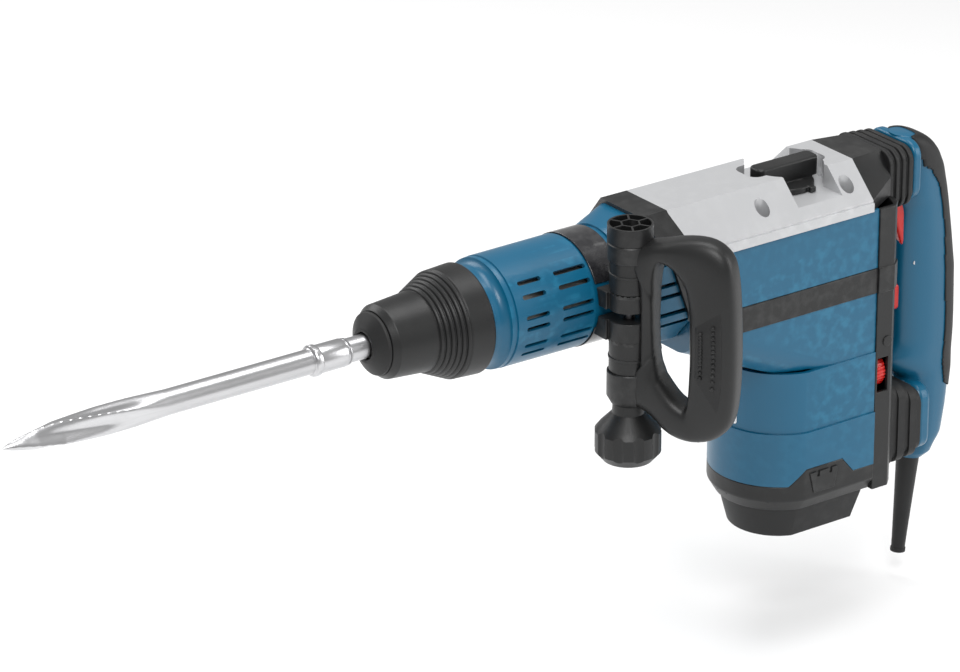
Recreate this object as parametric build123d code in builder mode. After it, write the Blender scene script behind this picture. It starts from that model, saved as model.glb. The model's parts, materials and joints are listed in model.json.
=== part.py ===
from build123d import *
import os
from math import atan2, cos, degrees, pi, radians, sin, sqrt

os.makedirs("parts", exist_ok=True)

# Electric jackhammer with a pointed chisel, an L-shaped body and two D handles. Millimetres.
# Frame: X is the hammer axis with the chisel towards -X, Z is up, and the motor hangs below.
# Origin: on the hammer axis, at the front of the nose.

# ---- fits ----
running = 0.05          # radial clearance of a shaft or slider in its bore
gap = 0.3               # clearance between pieces that move past each other
wall = 3.5              # plastic shell thickness
cast_wall = 4.5         # cast housing thickness

# ---- bit ----
shank_r = 9.0
collar_r = 10.5
bead_r = 11.4
point_length = 129.0    # fluted, pointed end
bit_reach = 299.0       # tip to nose
collar_front = 46.0     # in front of the nose
collar_length = 30.0
shank_depth = 88.0      # behind the nose
bit_float = 10.0        # free travel of the bit in its holder
flute_r = 11.4
flute_twist = 70.0

# ---- nose, holder and locking sleeve ----
holder_r = 19.0
holder_rear_r = 22.0
holder_rear = 142.0
sleeve_front = 8.8
sleeve_length = 78.2
sleeve_nose_r = 27.6
sleeve_neck_r = 30.0
sleeve_r = 41.4
sleeve_rib_count = 6
sleeve_travel = 6.0

# ---- barrel ----
guard_r = 42.2
guard_front = 93.5
guard_rear = 205.0
seat_length = 31.0      # smooth seat for the side handle's band
casing_r = 33.5
casing_bore_r = 27.0
tube_bore_r = 19.0
tube_front = 146.0
tube_rear = 302.0
slot_width = 3.4
slot_angles = (45.0, 60.0, 81.0, 92.5, 112.0, 124.0)

# ---- impact train ----
bolt_nose_r = 8.9
impact_r = 12.0
impact_rear = 150.0
striker_length = 35.0
striker_rear = 228.0
piston_front = 262.0
piston_length = 38.0
crank_throw = 16.0
wrist_x = 286.0
rod_length = 83.0

# ---- gear housing ----
half_width = 50.0       # of the gear housing's widest part
roof_z = 52.0
roof_half = 24.0
shoulder_z = 27.0
ledge_z = 18.0          # parting plane between casting and motor housing
ledge_proud = 1.5
cast_front = 252.0
cast_rear = 427.0
cover_front = 228.0
recess_r = 5.8
recess_y = 37.0
recess_x = (331.0, 411.0)

# ---- selector ----
selector_x = 381.0
selector_r = 23.0
pocket_floor = 34.0

# ---- motor housing ----
motor_x = 392.0         # motor axis
side_front = 368.0      # where the flat sides start
nose_of_motor = 329.0   # foremost point of the round front
side_rear = 436.0
waist_z = -98.0
tier_z = -147.0
seam_z = -190.0
cap_low_z = -212.0
foot_z = -238.0
tier_step = 1.4
notch_rise = 13.0
belt_top = -29.5
belt_low = -50.0
belly_front = 258.0
belly_front_z = -62.0

# ---- rear cover and bellows ----
cover_rear = 458.0
cover_rear_half = 33.0
handle_front = 486.0
bellows_half = 29.0
wheel_r = 14.0
wheel_width = 9.0
wheel_x = 441.0
wheel_z = -118.0

# ---- rear handle ----
grip_front = 491.5
grip_rear = 546.0
grip_half = 17.0
handle_top = 51.0
handle_low = -219.0
hand_top = -2.0
hand_low = -133.0
pivot_x = 478.0
pivot_z = -180.0
pivot_pin_r = 4.0
trigger_pivot_x = 502.0
trigger_pivot_z = -54.0
trigger_half = 8.0
button_z = -82.0
boot_top_r = 9.5
boot_tip_r = 5.4
boot_length = 84.0
boot_x = 513.0
boot_tilt = 5.0
cable_bore_r = 4.5
cable_bore_depth = 70.0

# ---- side handle ----
band_thickness = 1.6
band_width = 24.0
band_x = 188.0
stack_r = 15.0
bolt_x = 192.5
bolt_r = 4.0
handle_yaw = 28.6       # of the loop, from straight out towards the rear
cap_r = 16.8
cap_top = 67.5
hub_top = 54.0
jaw_top = 15.4
jaw_split_top = 2.0
jaw_split_low = -6.0
jaw_low = -22.0
hub_low = -72.0
loop_half = 13.5
loop_outer = 86.0
loop_inner = 50.0
loop_top = 63.5
loop_low = -91.0
spine_near = 12.0
spine_far = 24.0
knob_r = 24.6
knob_low = -117.0
knob_flutes = 10

# ---- drive ----
gear_module = 1.25
pinion_teeth = 8
gear_teeth = 56
stator_r = 41.5
rotor_r = 23.5
air_gap = 0.7
shaft_r = 6.0

# ---- worked out from the values above ----
guard_seat_r = guard_r - 1.0
band_bore_r = guard_seat_r + gap
band_r = band_bore_r + band_thickness
bolt_y = -(band_r + stack_r + 0.2)
crank_x = motor_x - gear_module * (pinion_teeth + gear_teeth) / 2
tip_x = -bit_reach
handle_width = 2 * grip_half


def finish(piece, label):
    piece.part.label = label
    export_step(piece.part, f"parts/{label}.step")


def turned(outline, axis=Axis.X, plane=Plane.XZ):
    """A solid of revolution from an outline of (station, radius) points."""
    with BuildPart() as piece:
        with BuildSketch(plane):
            with BuildLine():
                Polyline(*outline, close=True)
            make_face()
        revolve(axis=axis)
    return piece


def tube_x(front, rear, bore, outer):
    return turned([(front, bore), (rear, bore), (rear, outer), (front, outer)])


def tube_z(low, high, bore, outer, x=0.0, y=0.0):
    with BuildPart() as piece:
        with BuildSketch(Plane.XY.offset(low)):
            with Locations((x, y)):
                Circle(outer)
                Circle(bore, mode=Mode.SUBTRACT)
        extrude(amount=high - low)
    return piece


def cast_section(inset, low):
    """Half outline of the gear housing's cross-section, shrunk by inset."""
    return [(0, low), (half_width - inset, low), (half_width - inset, shoulder_z - 0.4 * inset),
            (roof_half - 0.4 * inset, roof_z - inset), (0, roof_z - inset)]


def motor_plan(grow, rear):
    """Plan outline of the motor housing: round front and flat sides."""
    side = half_width + grow
    with BuildLine() as outline:
        ThreePointArc((side_front, -side), (nose_of_motor - grow, 0), (side_front, side))
        Polyline((side_front, side), (rear, side), (rear, -side), (side_front, -side))
    return outline


def motor_tier(low, high, grow, rear):
    with BuildPart() as tier:
        with BuildSketch(Plane.XY.offset(low)):
            add(motor_plan(grow, rear).line)
            make_face()
        extrude(amount=high - low)
    return tier


def radial_slots(front, rear, angles, inner, outer):
    """Cutters for slots through a round shell on both sides, at the angles measured from the top."""
    middle = (front + rear) / 2
    with BuildPart() as cutters:
        for side in (-1, 1):
            for angle in angles:
                out = (0, side * sin(radians(angle)), cos(radians(angle)))
                with BuildSketch(Plane(origin=(middle, 0, 0), x_dir=(1, 0, 0), z_dir=out).offset(inner)):
                    SlotOverall(rear - front, slot_width)
                extrude(amount=outer - inner)
    return cutters


def coil(front, rear, radius, wire, turns, centre_z=0.0):
    with BuildPart() as piece:
        with BuildLine() as path:
            Helix(pitch=(rear - front - 2 * wire) / turns, height=rear - front - 2 * wire, radius=radius,
                  center=(front + wire, 0, centre_z), direction=(1, 0, 0))
        with BuildSketch(Plane(origin=path.line @ 0, z_dir=path.line % 0)):
            Circle(wire)
        sweep()
    return piece


# ======================================================================
# Bit: a pointed chisel with twisted flutes, a collar and a grooved shank
# ======================================================================
def star(plane, radius, pinch, turn):
    """Four-cornered section, its flats pinched in between the corners."""
    points = []
    for k in range(8):
        reach = radius if k % 2 == 0 else radius * pinch
        angle = radians(turn + 45 * k)
        points.append((reach * cos(angle), reach * sin(angle)))
    with BuildSketch(plane) as section:
        with BuildLine():
            Polyline(*points, close=True)
        make_face()
    return section


flute_rear = tip_x + point_length
flute_steps = ((0.0, 0.12, 0.80), (0.25, 0.72, 0.74), (0.5, 1.0, 0.62), (0.78, 1.0, 0.70), (1.0, 0.84, 0.93))
with BuildPart() as chisel:
    for part_way, size, pinch in flute_steps:
        plane = Plane.YZ.offset(tip_x + part_way * point_length)
        add(star(plane, flute_r * size, pinch, flute_twist * part_way).sketch)
    loft(ruled=True)
    with BuildSketch(Plane.XZ):
        with BuildLine():
            Polyline((flute_rear, 0), (flute_rear, shank_r), (-collar_front - 1, shank_r), (-collar_front, bead_r),
                     (-collar_front + 4, bead_r), (-collar_front + 6, collar_r),
                     (-collar_front + collar_length, collar_r), (-collar_front + collar_length + 1, shank_r),
                     (shank_depth - 2, shank_r), (shank_depth, shank_r - 2), (shank_depth, 0), close=True)
        make_face()
    revolve(axis=Axis.X)
    # two closed locking grooves and three open driving splines in the shank
    for side in (-1, 1):
        with BuildSketch(Plane.XY.offset(side * (shank_r - 3.2))):
            with Locations((47, 0)):
                SlotOverall(40, 7.4)
        extrude(amount=side * 5, mode=Mode.SUBTRACT)
    for angle in (90, 270):
        out = (0, sin(radians(angle)), cos(radians(angle)))
        with BuildSketch(Plane(origin=(60, 0, 0), x_dir=(1, 0, 0), z_dir=out).offset(shank_r - 3)):
            Rectangle(80, 5)
        extrude(amount=5, mode=Mode.SUBTRACT)
finish(chisel, "chisel")

# ======================================================================
# Nose: dust cap, holder with locking bars and driving keys, locking sleeve
# ======================================================================
dust_cap = turned([(-0.5, shank_r + 1.2), (-0.5, 12.6), (0.5, 14.2), (3.2, 18.8), (6.2, 23.4), (8.5, 23.4),
                   (8.5, holder_r + 0.3), (5.0, holder_r + 0.3), (5.0, 15.5), (3.0, 15.5), (3.0, shank_r + 1.2)])
finish(dust_cap, "dust_cap")

with BuildPart() as tool_holder:
    with BuildSketch(Plane.XZ):
        with BuildLine():
            Polyline((5.2, shank_r + running), (shank_depth + 1.5, shank_r + running),
                     (shank_depth + 1.5, impact_r + running), (holder_rear, impact_r + running),
                     (holder_rear, holder_rear_r), (68, holder_rear_r), (68, 24.5), (64, 24.5),
                     (64, holder_r), (5.2, holder_r), close=True)
        make_face()
    revolve(axis=Axis.X)
    for side in (-1, 1):
        with BuildSketch(Plane.XY.offset(side * 4)):
            with Locations((44, 0)):
                Rectangle(20, 7.0)
        extrude(amount=side * 20, mode=Mode.SUBTRACT)
finish(tool_holder, "tool_holder")

with BuildPart() as locking_bars:
    for side in (-1, 1):
        with BuildSketch(Plane.XY.offset(side * (shank_r - 2.6))):
            with Locations((44, 0)):
                Rectangle(19.4, 6.4)
        extrude(amount=side * (holder_r - shank_r + 2.2))
finish(locking_bars, "locking_bars")

sleeve_rear = sleeve_front + sleeve_length
rib_front = sleeve_front + 36.5
rib_rear = rib_front + 21.5
rib_pitch = (rib_rear - rib_front) / sleeve_rib_count
rib_rise = (sleeve_r - 1.6 - sleeve_neck_r) / sleeve_rib_count
ribs = []
for k in range(sleeve_rib_count):
    x0 = rib_front + k * rib_pitch
    r0 = sleeve_neck_r + k * rib_rise
    ribs += [(x0, r0 - 0.4), (x0 + 0.5, r0 + 1.3), (x0 + 2.0, r0 + 2.3), (x0 + 2.7, r0 + 1.2)]
sleeve_bore_r = 36.6
lock_sleeve = turned([(sleeve_front, holder_r + gap), (sleeve_front, 24.0), (sleeve_front + 4.6, sleeve_nose_r),
                      (rib_front - 0.5, sleeve_neck_r)] + ribs +
                     [(rib_rear + 0.4, sleeve_r - 1.0), (sleeve_rear - 1.6, sleeve_r), (sleeve_rear, sleeve_r - 1.4),
                      (sleeve_rear, sleeve_bore_r), (rib_rear - 1, sleeve_bore_r), (rib_rear - 6, 27.0),
                      (sleeve_front + 17, 25.6), (sleeve_front + 17, holder_r + gap)])
finish(lock_sleeve, "lock_sleeve")

sleeve_spring = coil(sleeve_front + 17.6, 63.6, 22.3, 1.2, 5)
finish(sleeve_spring, "sleeve_spring")

# ======================================================================
# Barrel: slotted guard over a cast casing, needle bearing, seal, hammer tube
# ======================================================================
guard_bore_r = guard_r - wall
with BuildPart() as barrel_guard:
    with BuildSketch(Plane.XZ):
        with BuildLine():
            outer = Polyline((80, casing_r + 0.2), (80, 36.0), (guard_front, 36.0))
            nose_arc = RadiusArc((guard_front, 36.0), (guard_front + 7, guard_r - 0.6), -7)
            Polyline((guard_front + 7, guard_r - 0.6), (103.5, guard_r - 0.3), (104, guard_r - 1.3),
                     (105.4, guard_r - 1.3), (105.9, guard_r - 0.1), (guard_rear - seat_length, guard_r + 0.3),
                     (guard_rear - seat_length + 0.6, guard_seat_r), (guard_rear, guard_seat_r),
                     (guard_rear, guard_bore_r), (102, guard_bore_r), (98, casing_r + 0.2), (80, casing_r + 0.2))
        make_face()
    revolve(axis=Axis.X)
    add(radial_slots(113, 133.5, slot_angles, guard_bore_r - 2, guard_r + 3).part, mode=Mode.SUBTRACT)
    add(radial_slots(145, 173.0, slot_angles, guard_bore_r - 2, guard_r + 3).part, mode=Mode.SUBTRACT)
finish(barrel_guard, "barrel_guard")

holder_bearing = tube_x(84.3, 110, holder_rear_r + running, casing_bore_r)
finish(holder_bearing, "holder_bearing")

hammer_casing = turned([(76, holder_rear_r + gap), (84, holder_rear_r + gap), (84, casing_bore_r), (212, casing_bore_r),
                        (212, casing_r + 3), (guard_rear, casing_r + 3), (guard_rear, guard_bore_r),
                        (guard_rear - 4, guard_bore_r), (guard_rear - 4, casing_r), (76, casing_r)])
finish(hammer_casing, "hammer_casing")

hammer_tube = turned([(tube_front, tube_bore_r + running), (tube_rear, tube_bore_r + running), (tube_rear, 24.0),
                      (213, 24.0), (213, casing_bore_r), (tube_front, casing_bore_r)])
finish(hammer_tube, "hammer_tube")

# ======================================================================
# Impact train: impact bolt, striker, piston, wrist pin, connecting rod
# ======================================================================
bolt_front = shank_depth + 0.5
impact_bolt = turned([(bolt_front, 0), (bolt_front, bolt_nose_r - 1.5), (bolt_front + 1.5, bolt_nose_r),
                      (bolt_front + 15, bolt_nose_r), (bolt_front + 17, impact_r), (bolt_front + 44, impact_r),
                      (bolt_front + 46, 8.0), (impact_rear, 8.0), (impact_rear, 0)])
finish(impact_bolt, "impact_bolt")

striker_front = striker_rear - striker_length
striker = turned([(striker_front, 0), (striker_front, 12), (striker_front + 3, tube_bore_r),
                  (striker_front + 14, tube_bore_r), (striker_front + 14, 17.2), (striker_front + 17, 17.2),
                  (striker_front + 17, tube_bore_r), (striker_rear, tube_bore_r), (striker_rear, 0)])
finish(striker, "striker")
piston_rear = piston_front + piston_length
rod_half = 5.0
with BuildPart() as piston:
    with BuildSketch(Plane.XZ):
        with BuildLine():
            Polyline((piston_front, 0), (piston_front, tube_bore_r), (piston_rear, tube_bore_r),
                     (piston_rear, 15.5), (piston_front + 10, 15.5), (piston_front + 10, 0), close=True)
        make_face()
    revolve(axis=Axis.X)
    with BuildSketch(Plane.XY.offset(-tube_bore_r - 1)):
        with Locations((wrist_x, 0)):
            Circle(pivot_pin_r)
    extrude(amount=2 * tube_bore_r + 2, mode=Mode.SUBTRACT)
finish(piston, "piston")

wrist_pin = tube_z(-tube_bore_r + 1.5, tube_bore_r - 1.5, 0.8, pivot_pin_r, wrist_x)
finish(wrist_pin, "wrist_pin")

crank_pin_x = crank_x + crank_throw
big_end_x = wrist_x + rod_length
with BuildPart() as connecting_rod:
    with BuildSketch(Plane.XY.offset(-rod_half)):
        with Locations((wrist_x, 0)):
            Circle(8.0)
        with Locations((big_end_x, 0)):
            Circle(12.0)
        with Locations(((wrist_x + big_end_x) / 2, 0)):
            Rectangle(rod_length, 9.0)
        with Locations((wrist_x, 0)):
            Circle(pivot_pin_r + running, mode=Mode.SUBTRACT)
        with Locations((big_end_x, 0)):
            Circle(7.5, mode=Mode.SUBTRACT)
    extrude(amount=2 * rod_half)
finish(connecting_rod, "connecting_rod")

# ======================================================================
# Drive: crank gear, crank shaft and its bearings, motor
# ======================================================================
def toothed(plane, teeth, x, face, phase, bore):
    """Spur gear with straight-flanked teeth, thinned for backlash."""
    pitch_r = gear_module * teeth / 2
    root_r = pitch_r - 1.15 * gear_module
    tip_r = pitch_r + 0.72 * gear_module
    root_half = 0.56 * pi * gear_module / 2
    pitch_half = 0.38 * pi * gear_module / 2
    tip_half = 0.15 * pi * gear_module / 2
    with BuildPart() as gear:
        with BuildSketch(plane):
            with Locations((x, 0)):
                Circle(root_r)
                with PolarLocations(0, teeth, start_angle=phase):
                    Polygon((root_r - 0.4, -root_half), (pitch_r, -pitch_half), (tip_r, -tip_half),
                            (tip_r, tip_half), (pitch_r, pitch_half), (root_r - 0.4, root_half), align=None)
                Circle(bore, mode=Mode.SUBTRACT)
        extrude(amount=face)
    return gear


gear_low = -64.0
gear_face = 12.0
crank_shaft_r = 8.0
crank_gear = toothed(Plane.XY.offset(gear_low), gear_teeth, crank_x, gear_face, 0, crank_shaft_r)
finish(crank_gear, "crank_gear")

pin_gap = 0.4
with BuildPart() as crank_shaft:
    with BuildSketch(Plane.XY.offset(-74)):
        with Locations((crank_x, 0)):
            Circle(crank_shaft_r)
    extrude(amount=74 - 24)
    with BuildSketch(Plane.XY.offset(-24)):
        with Locations((crank_x, 0)):
            Circle(25)
    extrude(amount=12)
    with BuildSketch(Plane.XY.offset(-12)):
        with Locations((crank_pin_x, 0)):
            Circle(7.0)
    extrude(amount=12 - rod_half - pin_gap)
finish(crank_shaft, "crank_shaft")

with BuildPart() as bearing_plates:
    with BuildSketch(Plane.XY.offset(-48)):
        with Locations((352, 0)):
            Rectangle(78, 2 * (half_width - wall) - 3)
        with Locations((crank_x, 0)):
            Circle(15, mode=Mode.SUBTRACT)
        with Locations((motor_x, 0)):
            Circle(9, mode=Mode.SUBTRACT)
    extrude(amount=10)
    with BuildSketch(Plane.XY.offset(-86)):
        with Locations((388, 0)):
            Rectangle(86, 2 * (half_width - wall) - 14)
        with Locations((motor_x, 0)):
            Circle(14, mode=Mode.SUBTRACT)
    extrude(amount=9)
finish(bearing_plates, "bearing_plates")

pinion_phase = 180 + 180 / pinion_teeth
with BuildPart() as armature:
    add(toothed(Plane.XY.offset(gear_low), pinion_teeth, motor_x, gear_face, pinion_phase, 0.9).part)
    with BuildSketch(Plane.XY.offset(-228)):
        with Locations((motor_x, 0)):
            Circle(shaft_r)
    extrude(amount=228 + gear_low - 2)
    with BuildSketch(Plane.XY.offset(gear_low - 2)):
        with Locations((motor_x, 0)):
            Circle(3.2)
            Circle(0.9, mode=Mode.SUBTRACT)
    extrude(amount=2)
    with BuildSketch(Plane.XY.offset(-176)):
        with Locations((motor_x, 0)):
            Circle(rotor_r)
            with PolarLocations(rotor_r - 1.5, 12):
                Rectangle(5, 2.2, mode=Mode.SUBTRACT)
    extrude(amount=60)
    with BuildSketch(Plane.XY.offset(-186)):
        with Locations((motor_x, 0)):
            Circle(19)
    extrude(amount=80)
finish(armature, "armature")

with BuildPart() as commutator:
    with BuildSketch(Plane.XY.offset(-206)):
        with Locations((motor_x, 0)):
            Circle(14)
            Circle(shaft_r, mode=Mode.SUBTRACT)
            with PolarLocations(13.6, 18):
                Rectangle(1.6, 0.6, mode=Mode.SUBTRACT)
    extrude(amount=18)
finish(commutator, "commutator")

with BuildPart() as cooling_fan:
    with BuildSketch(Plane.XY.offset(-102)):
        with Locations((motor_x, 0)):
            Circle(35)
            Circle(shaft_r, mode=Mode.SUBTRACT)
    extrude(amount=2)
    with BuildSketch(Plane.XY.offset(-100)):
        with Locations((motor_x, 0)):
            with PolarLocations(24, 16):
                Rectangle(20, 1.6)
            Circle(13)
            Circle(shaft_r, mode=Mode.SUBTRACT)
    extrude(amount=8)
finish(cooling_fan, "cooling_fan")

with BuildPart() as stator:
    with BuildSketch(Plane.XY.offset(-174)):
        with Locations((motor_x, 0)):
            Circle(stator_r)
            Circle(rotor_r + air_gap, mode=Mode.SUBTRACT)
            with PolarLocations(rotor_r + 8, 2, start_angle=90):
                Rectangle(13, 26, mode=Mode.SUBTRACT)
    extrude(amount=56)
finish(stator, "stator")

with BuildPart() as field_coils:
    for side in (-1, 1):
        with BuildSketch(Plane.XY.offset(-182)):
            with Locations((motor_x, side * (rotor_r + 8))):
                RectangleRounded(25, 12, 3)
        extrude(amount=72)
finish(field_coils, "field_coils")

with BuildPart() as ball_bearings:
    for x, low, high, outer, shaft in ((motor_x, -226, -217, 14, shaft_r), (motor_x, -86, -77, 14, shaft_r),
                                       (crank_x, -48, -38, 15, crank_shaft_r), (crank_x, -74, -66, 15, crank_shaft_r)):
        with BuildSketch(Plane.XY.offset(low)):
            with Locations((x, 0)):
                Circle(outer)
                Circle(shaft + running, mode=Mode.SUBTRACT)
        extrude(amount=high - low)
finish(ball_bearings, "ball_bearings")

with BuildPart() as brush_holders:
    for side in (-1, 1):
        with BuildSketch(Plane.XZ.offset(side * 15)):
            with Locations((motor_x, -197)):
                Rectangle(12, 10)
        extrude(amount=side * 24)
finish(brush_holders, "brush_holders")

# ======================================================================
# Housings: blue neck, front cover, casting, motor housing, belts, end cap
# ======================================================================
neck_front = guard_rear + 0.0
neck_square = 232.0


def neck_ring(plane, inset, share):
    """Outline of the neck shrunk by inset: round at share 0, the gear housing's shape at share 1."""
    round_r = guard_seat_r + 1.6 - inset
    round_x = round_r * sin(radians(22.5)) / cos(radians(22.5))
    side = round_r + share * (half_width - 3.0 - inset - round_r)
    shoulder = round_x + share * (shoulder_z - 3.0 - round_x)
    low = round_x + share * (26 - round_x)
    roof = round_x + share * (roof_half - round_x)
    top = round_r + share * (roof_z - 3.0 - inset - round_r)
    bottom = round_r + share * (half_width + 2 - inset - round_r)
    with BuildSketch(plane) as ring:
        with BuildLine():
            Polyline((-side, -low), (-side, shoulder), (-roof, top), (roof, top), (side, shoulder), (side, -low),
                     (roof, -bottom), (-roof, -bottom), close=True)
        make_face()
        fillet(ring.vertices(), round_r * 0.97 if share == 0 else 9)
    return ring


def neck_body(inset):
    """Round at the barrel, flaring to the gear housing's outline, shrunk by inset."""
    with BuildPart() as body:
        add(neck_ring(Plane.YZ.offset(neck_front), inset, 0).sketch)
        add(neck_ring(Plane.YZ.offset(neck_square), inset, 1).sketch)
        add(neck_ring(Plane.YZ.offset(cast_front + 8), inset, 1).sketch)
        loft(ruled=True)
    return body


neck_solid = neck_body(0.0)
neck_hollow = neck_body(wall)
with BuildPart() as neck_housing:
    add(neck_solid.part)
    add(neck_hollow.part, mode=Mode.SUBTRACT)
    for height, front, rear in ((21.0, 214, 236), (4.0, 214, 245), (-5.0, 214, 250), (-19.0, 214, 255),
                                (-28.0, 214, 257)):
        with BuildSketch(Plane.XZ):
            with Locations(((front + rear) / 2, height)):
                SlotOverall(rear - front, slot_width)
        extrude(amount=half_width + 10, both=True, mode=Mode.SUBTRACT)
    with BuildSketch(Plane.XZ):
        with Locations((cast_front + 10, ledge_z - 1.5 + 30)):
            Rectangle(20, 60)
    extrude(amount=half_width + 10, both=True, mode=Mode.SUBTRACT)
finish(neck_housing, "neck_housing")

with BuildPart() as cover_stock:
    with BuildSketch(Plane.YZ.offset(cover_front)):
        with BuildLine():
            Polyline(*cast_section(0.0, belt_top), close=True)
        make_face()
        mirror(about=Plane.YZ)
    extrude(amount=cast_front + 20 - cover_front)
with BuildPart() as front_cover:
    add(cover_stock.part)
    add(neck_solid.part, mode=Mode.SUBTRACT)
    with BuildSketch(Plane.XZ):
        with BuildLine():
            Polyline((cover_front - 5, roof_z + 5), (cover_front, roof_z + 0.1), (cover_front + 9, shoulder_z - 3),
                     (cast_front + 5, belt_top), (cast_front + 5, belt_top - 8), (cover_front - 5, belt_top - 8),
                     close=True)
        make_face()
    extrude(amount=half_width + 10, both=True, mode=Mode.SUBTRACT)
    with BuildSketch(Plane.XZ):
        with BuildLine():
            Polyline((cast_front, roof_z + 5), (cast_front, roof_z - 2), (cast_front + 8, shoulder_z - 3),
                     (cast_front + 19, belt_top), (cast_front + 19, belt_top - 8), (cast_front + 30, belt_top - 8),
                     (cast_front + 30, roof_z + 5), close=True)
        make_face()
    extrude(amount=half_width + 10, both=True, mode=Mode.SUBTRACT)
    with BuildSketch(Plane.YZ.offset(cast_front + 8)):
        Rectangle(2 * (half_width - cast_wall), 2 * (roof_z - cast_wall))
    extrude(amount=30, mode=Mode.SUBTRACT)
finish(front_cover, "front_cover")

with BuildPart() as boss_stock:
    with BuildSketch(Plane.XY.offset(ledge_z)):
        for x in recess_x:
            with Locations((x, recess_y), (x, -recess_y)):
                Circle(recess_r + 2.4)
    extrude(amount=40)
    with BuildSketch(Plane.YZ.offset(cast_front)):
        with BuildLine():
            Polyline(*cast_section(0.5, ledge_z), close=True)
        make_face()
        mirror(about=Plane.YZ)
    extrude(amount=cast_rear - cast_front, mode=Mode.INTERSECT)
with BuildPart() as gear_housing:
    with BuildSketch(Plane.YZ.offset(cast_front)):
        with BuildLine():
            Polyline(*cast_section(0.0, ledge_z), close=True)
        make_face()
        mirror(about=Plane.YZ)
    extrude(amount=cast_rear - cast_front)
    with BuildSketch(Plane.XY.offset(ledge_z)):
        with Locations(((cast_front + 22 + cast_rear) / 2, 0)):
            Rectangle(cast_rear - cast_front - 22, 2 * (half_width + ledge_proud))
    extrude(amount=7)
    # front edge follows the slanting rear edge of the front cover
    with BuildSketch(Plane.XZ):
        with BuildLine():
            Polyline((cast_front - 5, roof_z - 2), (cast_front, roof_z - 2), (cast_front + 8, shoulder_z - 3),
                     (cast_front + 12, ledge_z - 1), (cast_front - 5, ledge_z - 1), close=True)
        make_face()
    extrude(amount=half_width + 10, both=True, mode=Mode.SUBTRACT)
    with BuildSketch(Plane.YZ.offset(cast_front + 12)):
        with BuildLine():
            Polyline(*cast_section(cast_wall, ledge_z - 1), close=True)
        make_face()
        mirror(about=Plane.YZ)
    extrude(amount=selector_x - 34 - cast_front - 12, mode=Mode.SUBTRACT)
    with BuildSketch(Plane.XY.offset(ledge_z - 1)):
        with Locations(((selector_x - 36 + cast_rear - 4) / 2, 0)):
            Rectangle(cast_rear - selector_x + 32, 2 * (half_width - cast_wall))
    extrude(amount=pocket_floor - cast_wall - ledge_z + 1, mode=Mode.SUBTRACT)
    add(boss_stock.part)
    # selector pocket: round well opened towards both sides
    with BuildSketch(Plane.XY.offset(pocket_floor)):
        with Locations((selector_x, 0)):
            Circle(selector_r + 7)
        with Locations((selector_x + 1, 0)):
            Rectangle(42, 2 * half_width)
        with Locations((selector_x - 3, 0)):
            RectangleRounded(72, 26, 8)
    extrude(amount=40, mode=Mode.SUBTRACT)
    # screw recesses with seats for the heads
    with BuildSketch(Plane.XY.offset(ledge_z + 5)):
        for x in recess_x:
            with Locations((x, recess_y), (x, -recess_y)):
                Circle(recess_r)
    extrude(amount=40, mode=Mode.SUBTRACT)
    with BuildSketch(Plane.XY.offset(ledge_z - 1)):
        for x in recess_x:
            with Locations((x, recess_y), (x, -recess_y)):
                Circle(2.6)
        with Locations((selector_x, 0)):
            Circle(5.0 + running)
    extrude(amount=40, mode=Mode.SUBTRACT)
    # bore for the hammer tube
    with BuildSketch(Plane.YZ.offset(cast_front - 2)):
        Circle(24.0)
    extrude(amount=30, mode=Mode.SUBTRACT)
finish(gear_housing, "gear_housing")

with BuildPart() as housing_screws:
    for x in recess_x:
        for y in (recess_y, -recess_y):
            with BuildSketch(Plane.XY.offset(ledge_z - 6)):
                with Locations((x, y)):
                    Circle(2.5)
            extrude(amount=11)
            with BuildSketch(Plane.XY.offset(ledge_z + 5)):
                with Locations((x, y)):
                    Circle(4.6)
                    RegularPolygon(2.4, 6, mode=Mode.SUBTRACT)
            extrude(amount=4.5)
finish(housing_screws, "housing_screws")

# ---- motor housing: upper body, belly and the tiers round the motor ----
with BuildPart() as upper_body:
    with BuildSketch(Plane.XZ):
        with BuildLine():
            Polyline((cast_front + 12, ledge_z), (side_rear - 2, ledge_z), (side_rear - 2, waist_z),
                     (side_front - 26, waist_z), (belly_front + 4, belly_front_z), (belly_front + 4, belt_top),
                     (cast_front + 19, belt_top), close=True)
        make_face()
    extrude(amount=half_width - 1, both=True)
    belly_edges = upper_body.edges().filter_by(lambda e: abs(e.center().Y) > half_width - 2
                                               and e.center().Z < belly_front_z + 2 and e.center().X < side_front - 10)
    fillet(belly_edges, 24)
with BuildPart() as upper_void:
    with BuildSketch(Plane.XZ):
        with BuildLine():
            Polyline((cast_front + 12, ledge_z + 1), (side_rear + 1, ledge_z + 1), (side_rear + 1, waist_z - 1),
                     (side_front - 20, waist_z - 1), (belly_front + 18, belly_front_z + 12),
                     (belly_front + 18, belt_top + 8), (cast_front + 12, belt_top + 8), close=True)
        make_face()
    extrude(amount=half_width - 1 - wall, both=True)
    void_edges = upper_void.edges().filter_by(lambda e: abs(e.center().Y) > half_width - 6
                                              and e.center().Z < belly_front_z + 8 and e.center().X < side_front - 10)
    fillet(void_edges, 20)
notch_low = seam_z
notch_high = seam_z + notch_rise
notch_points = [(355, notch_low - 30), (355, notch_low), (368, notch_high), (403, notch_high), (414, notch_low),
                (414, notch_low - 30)]
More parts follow.
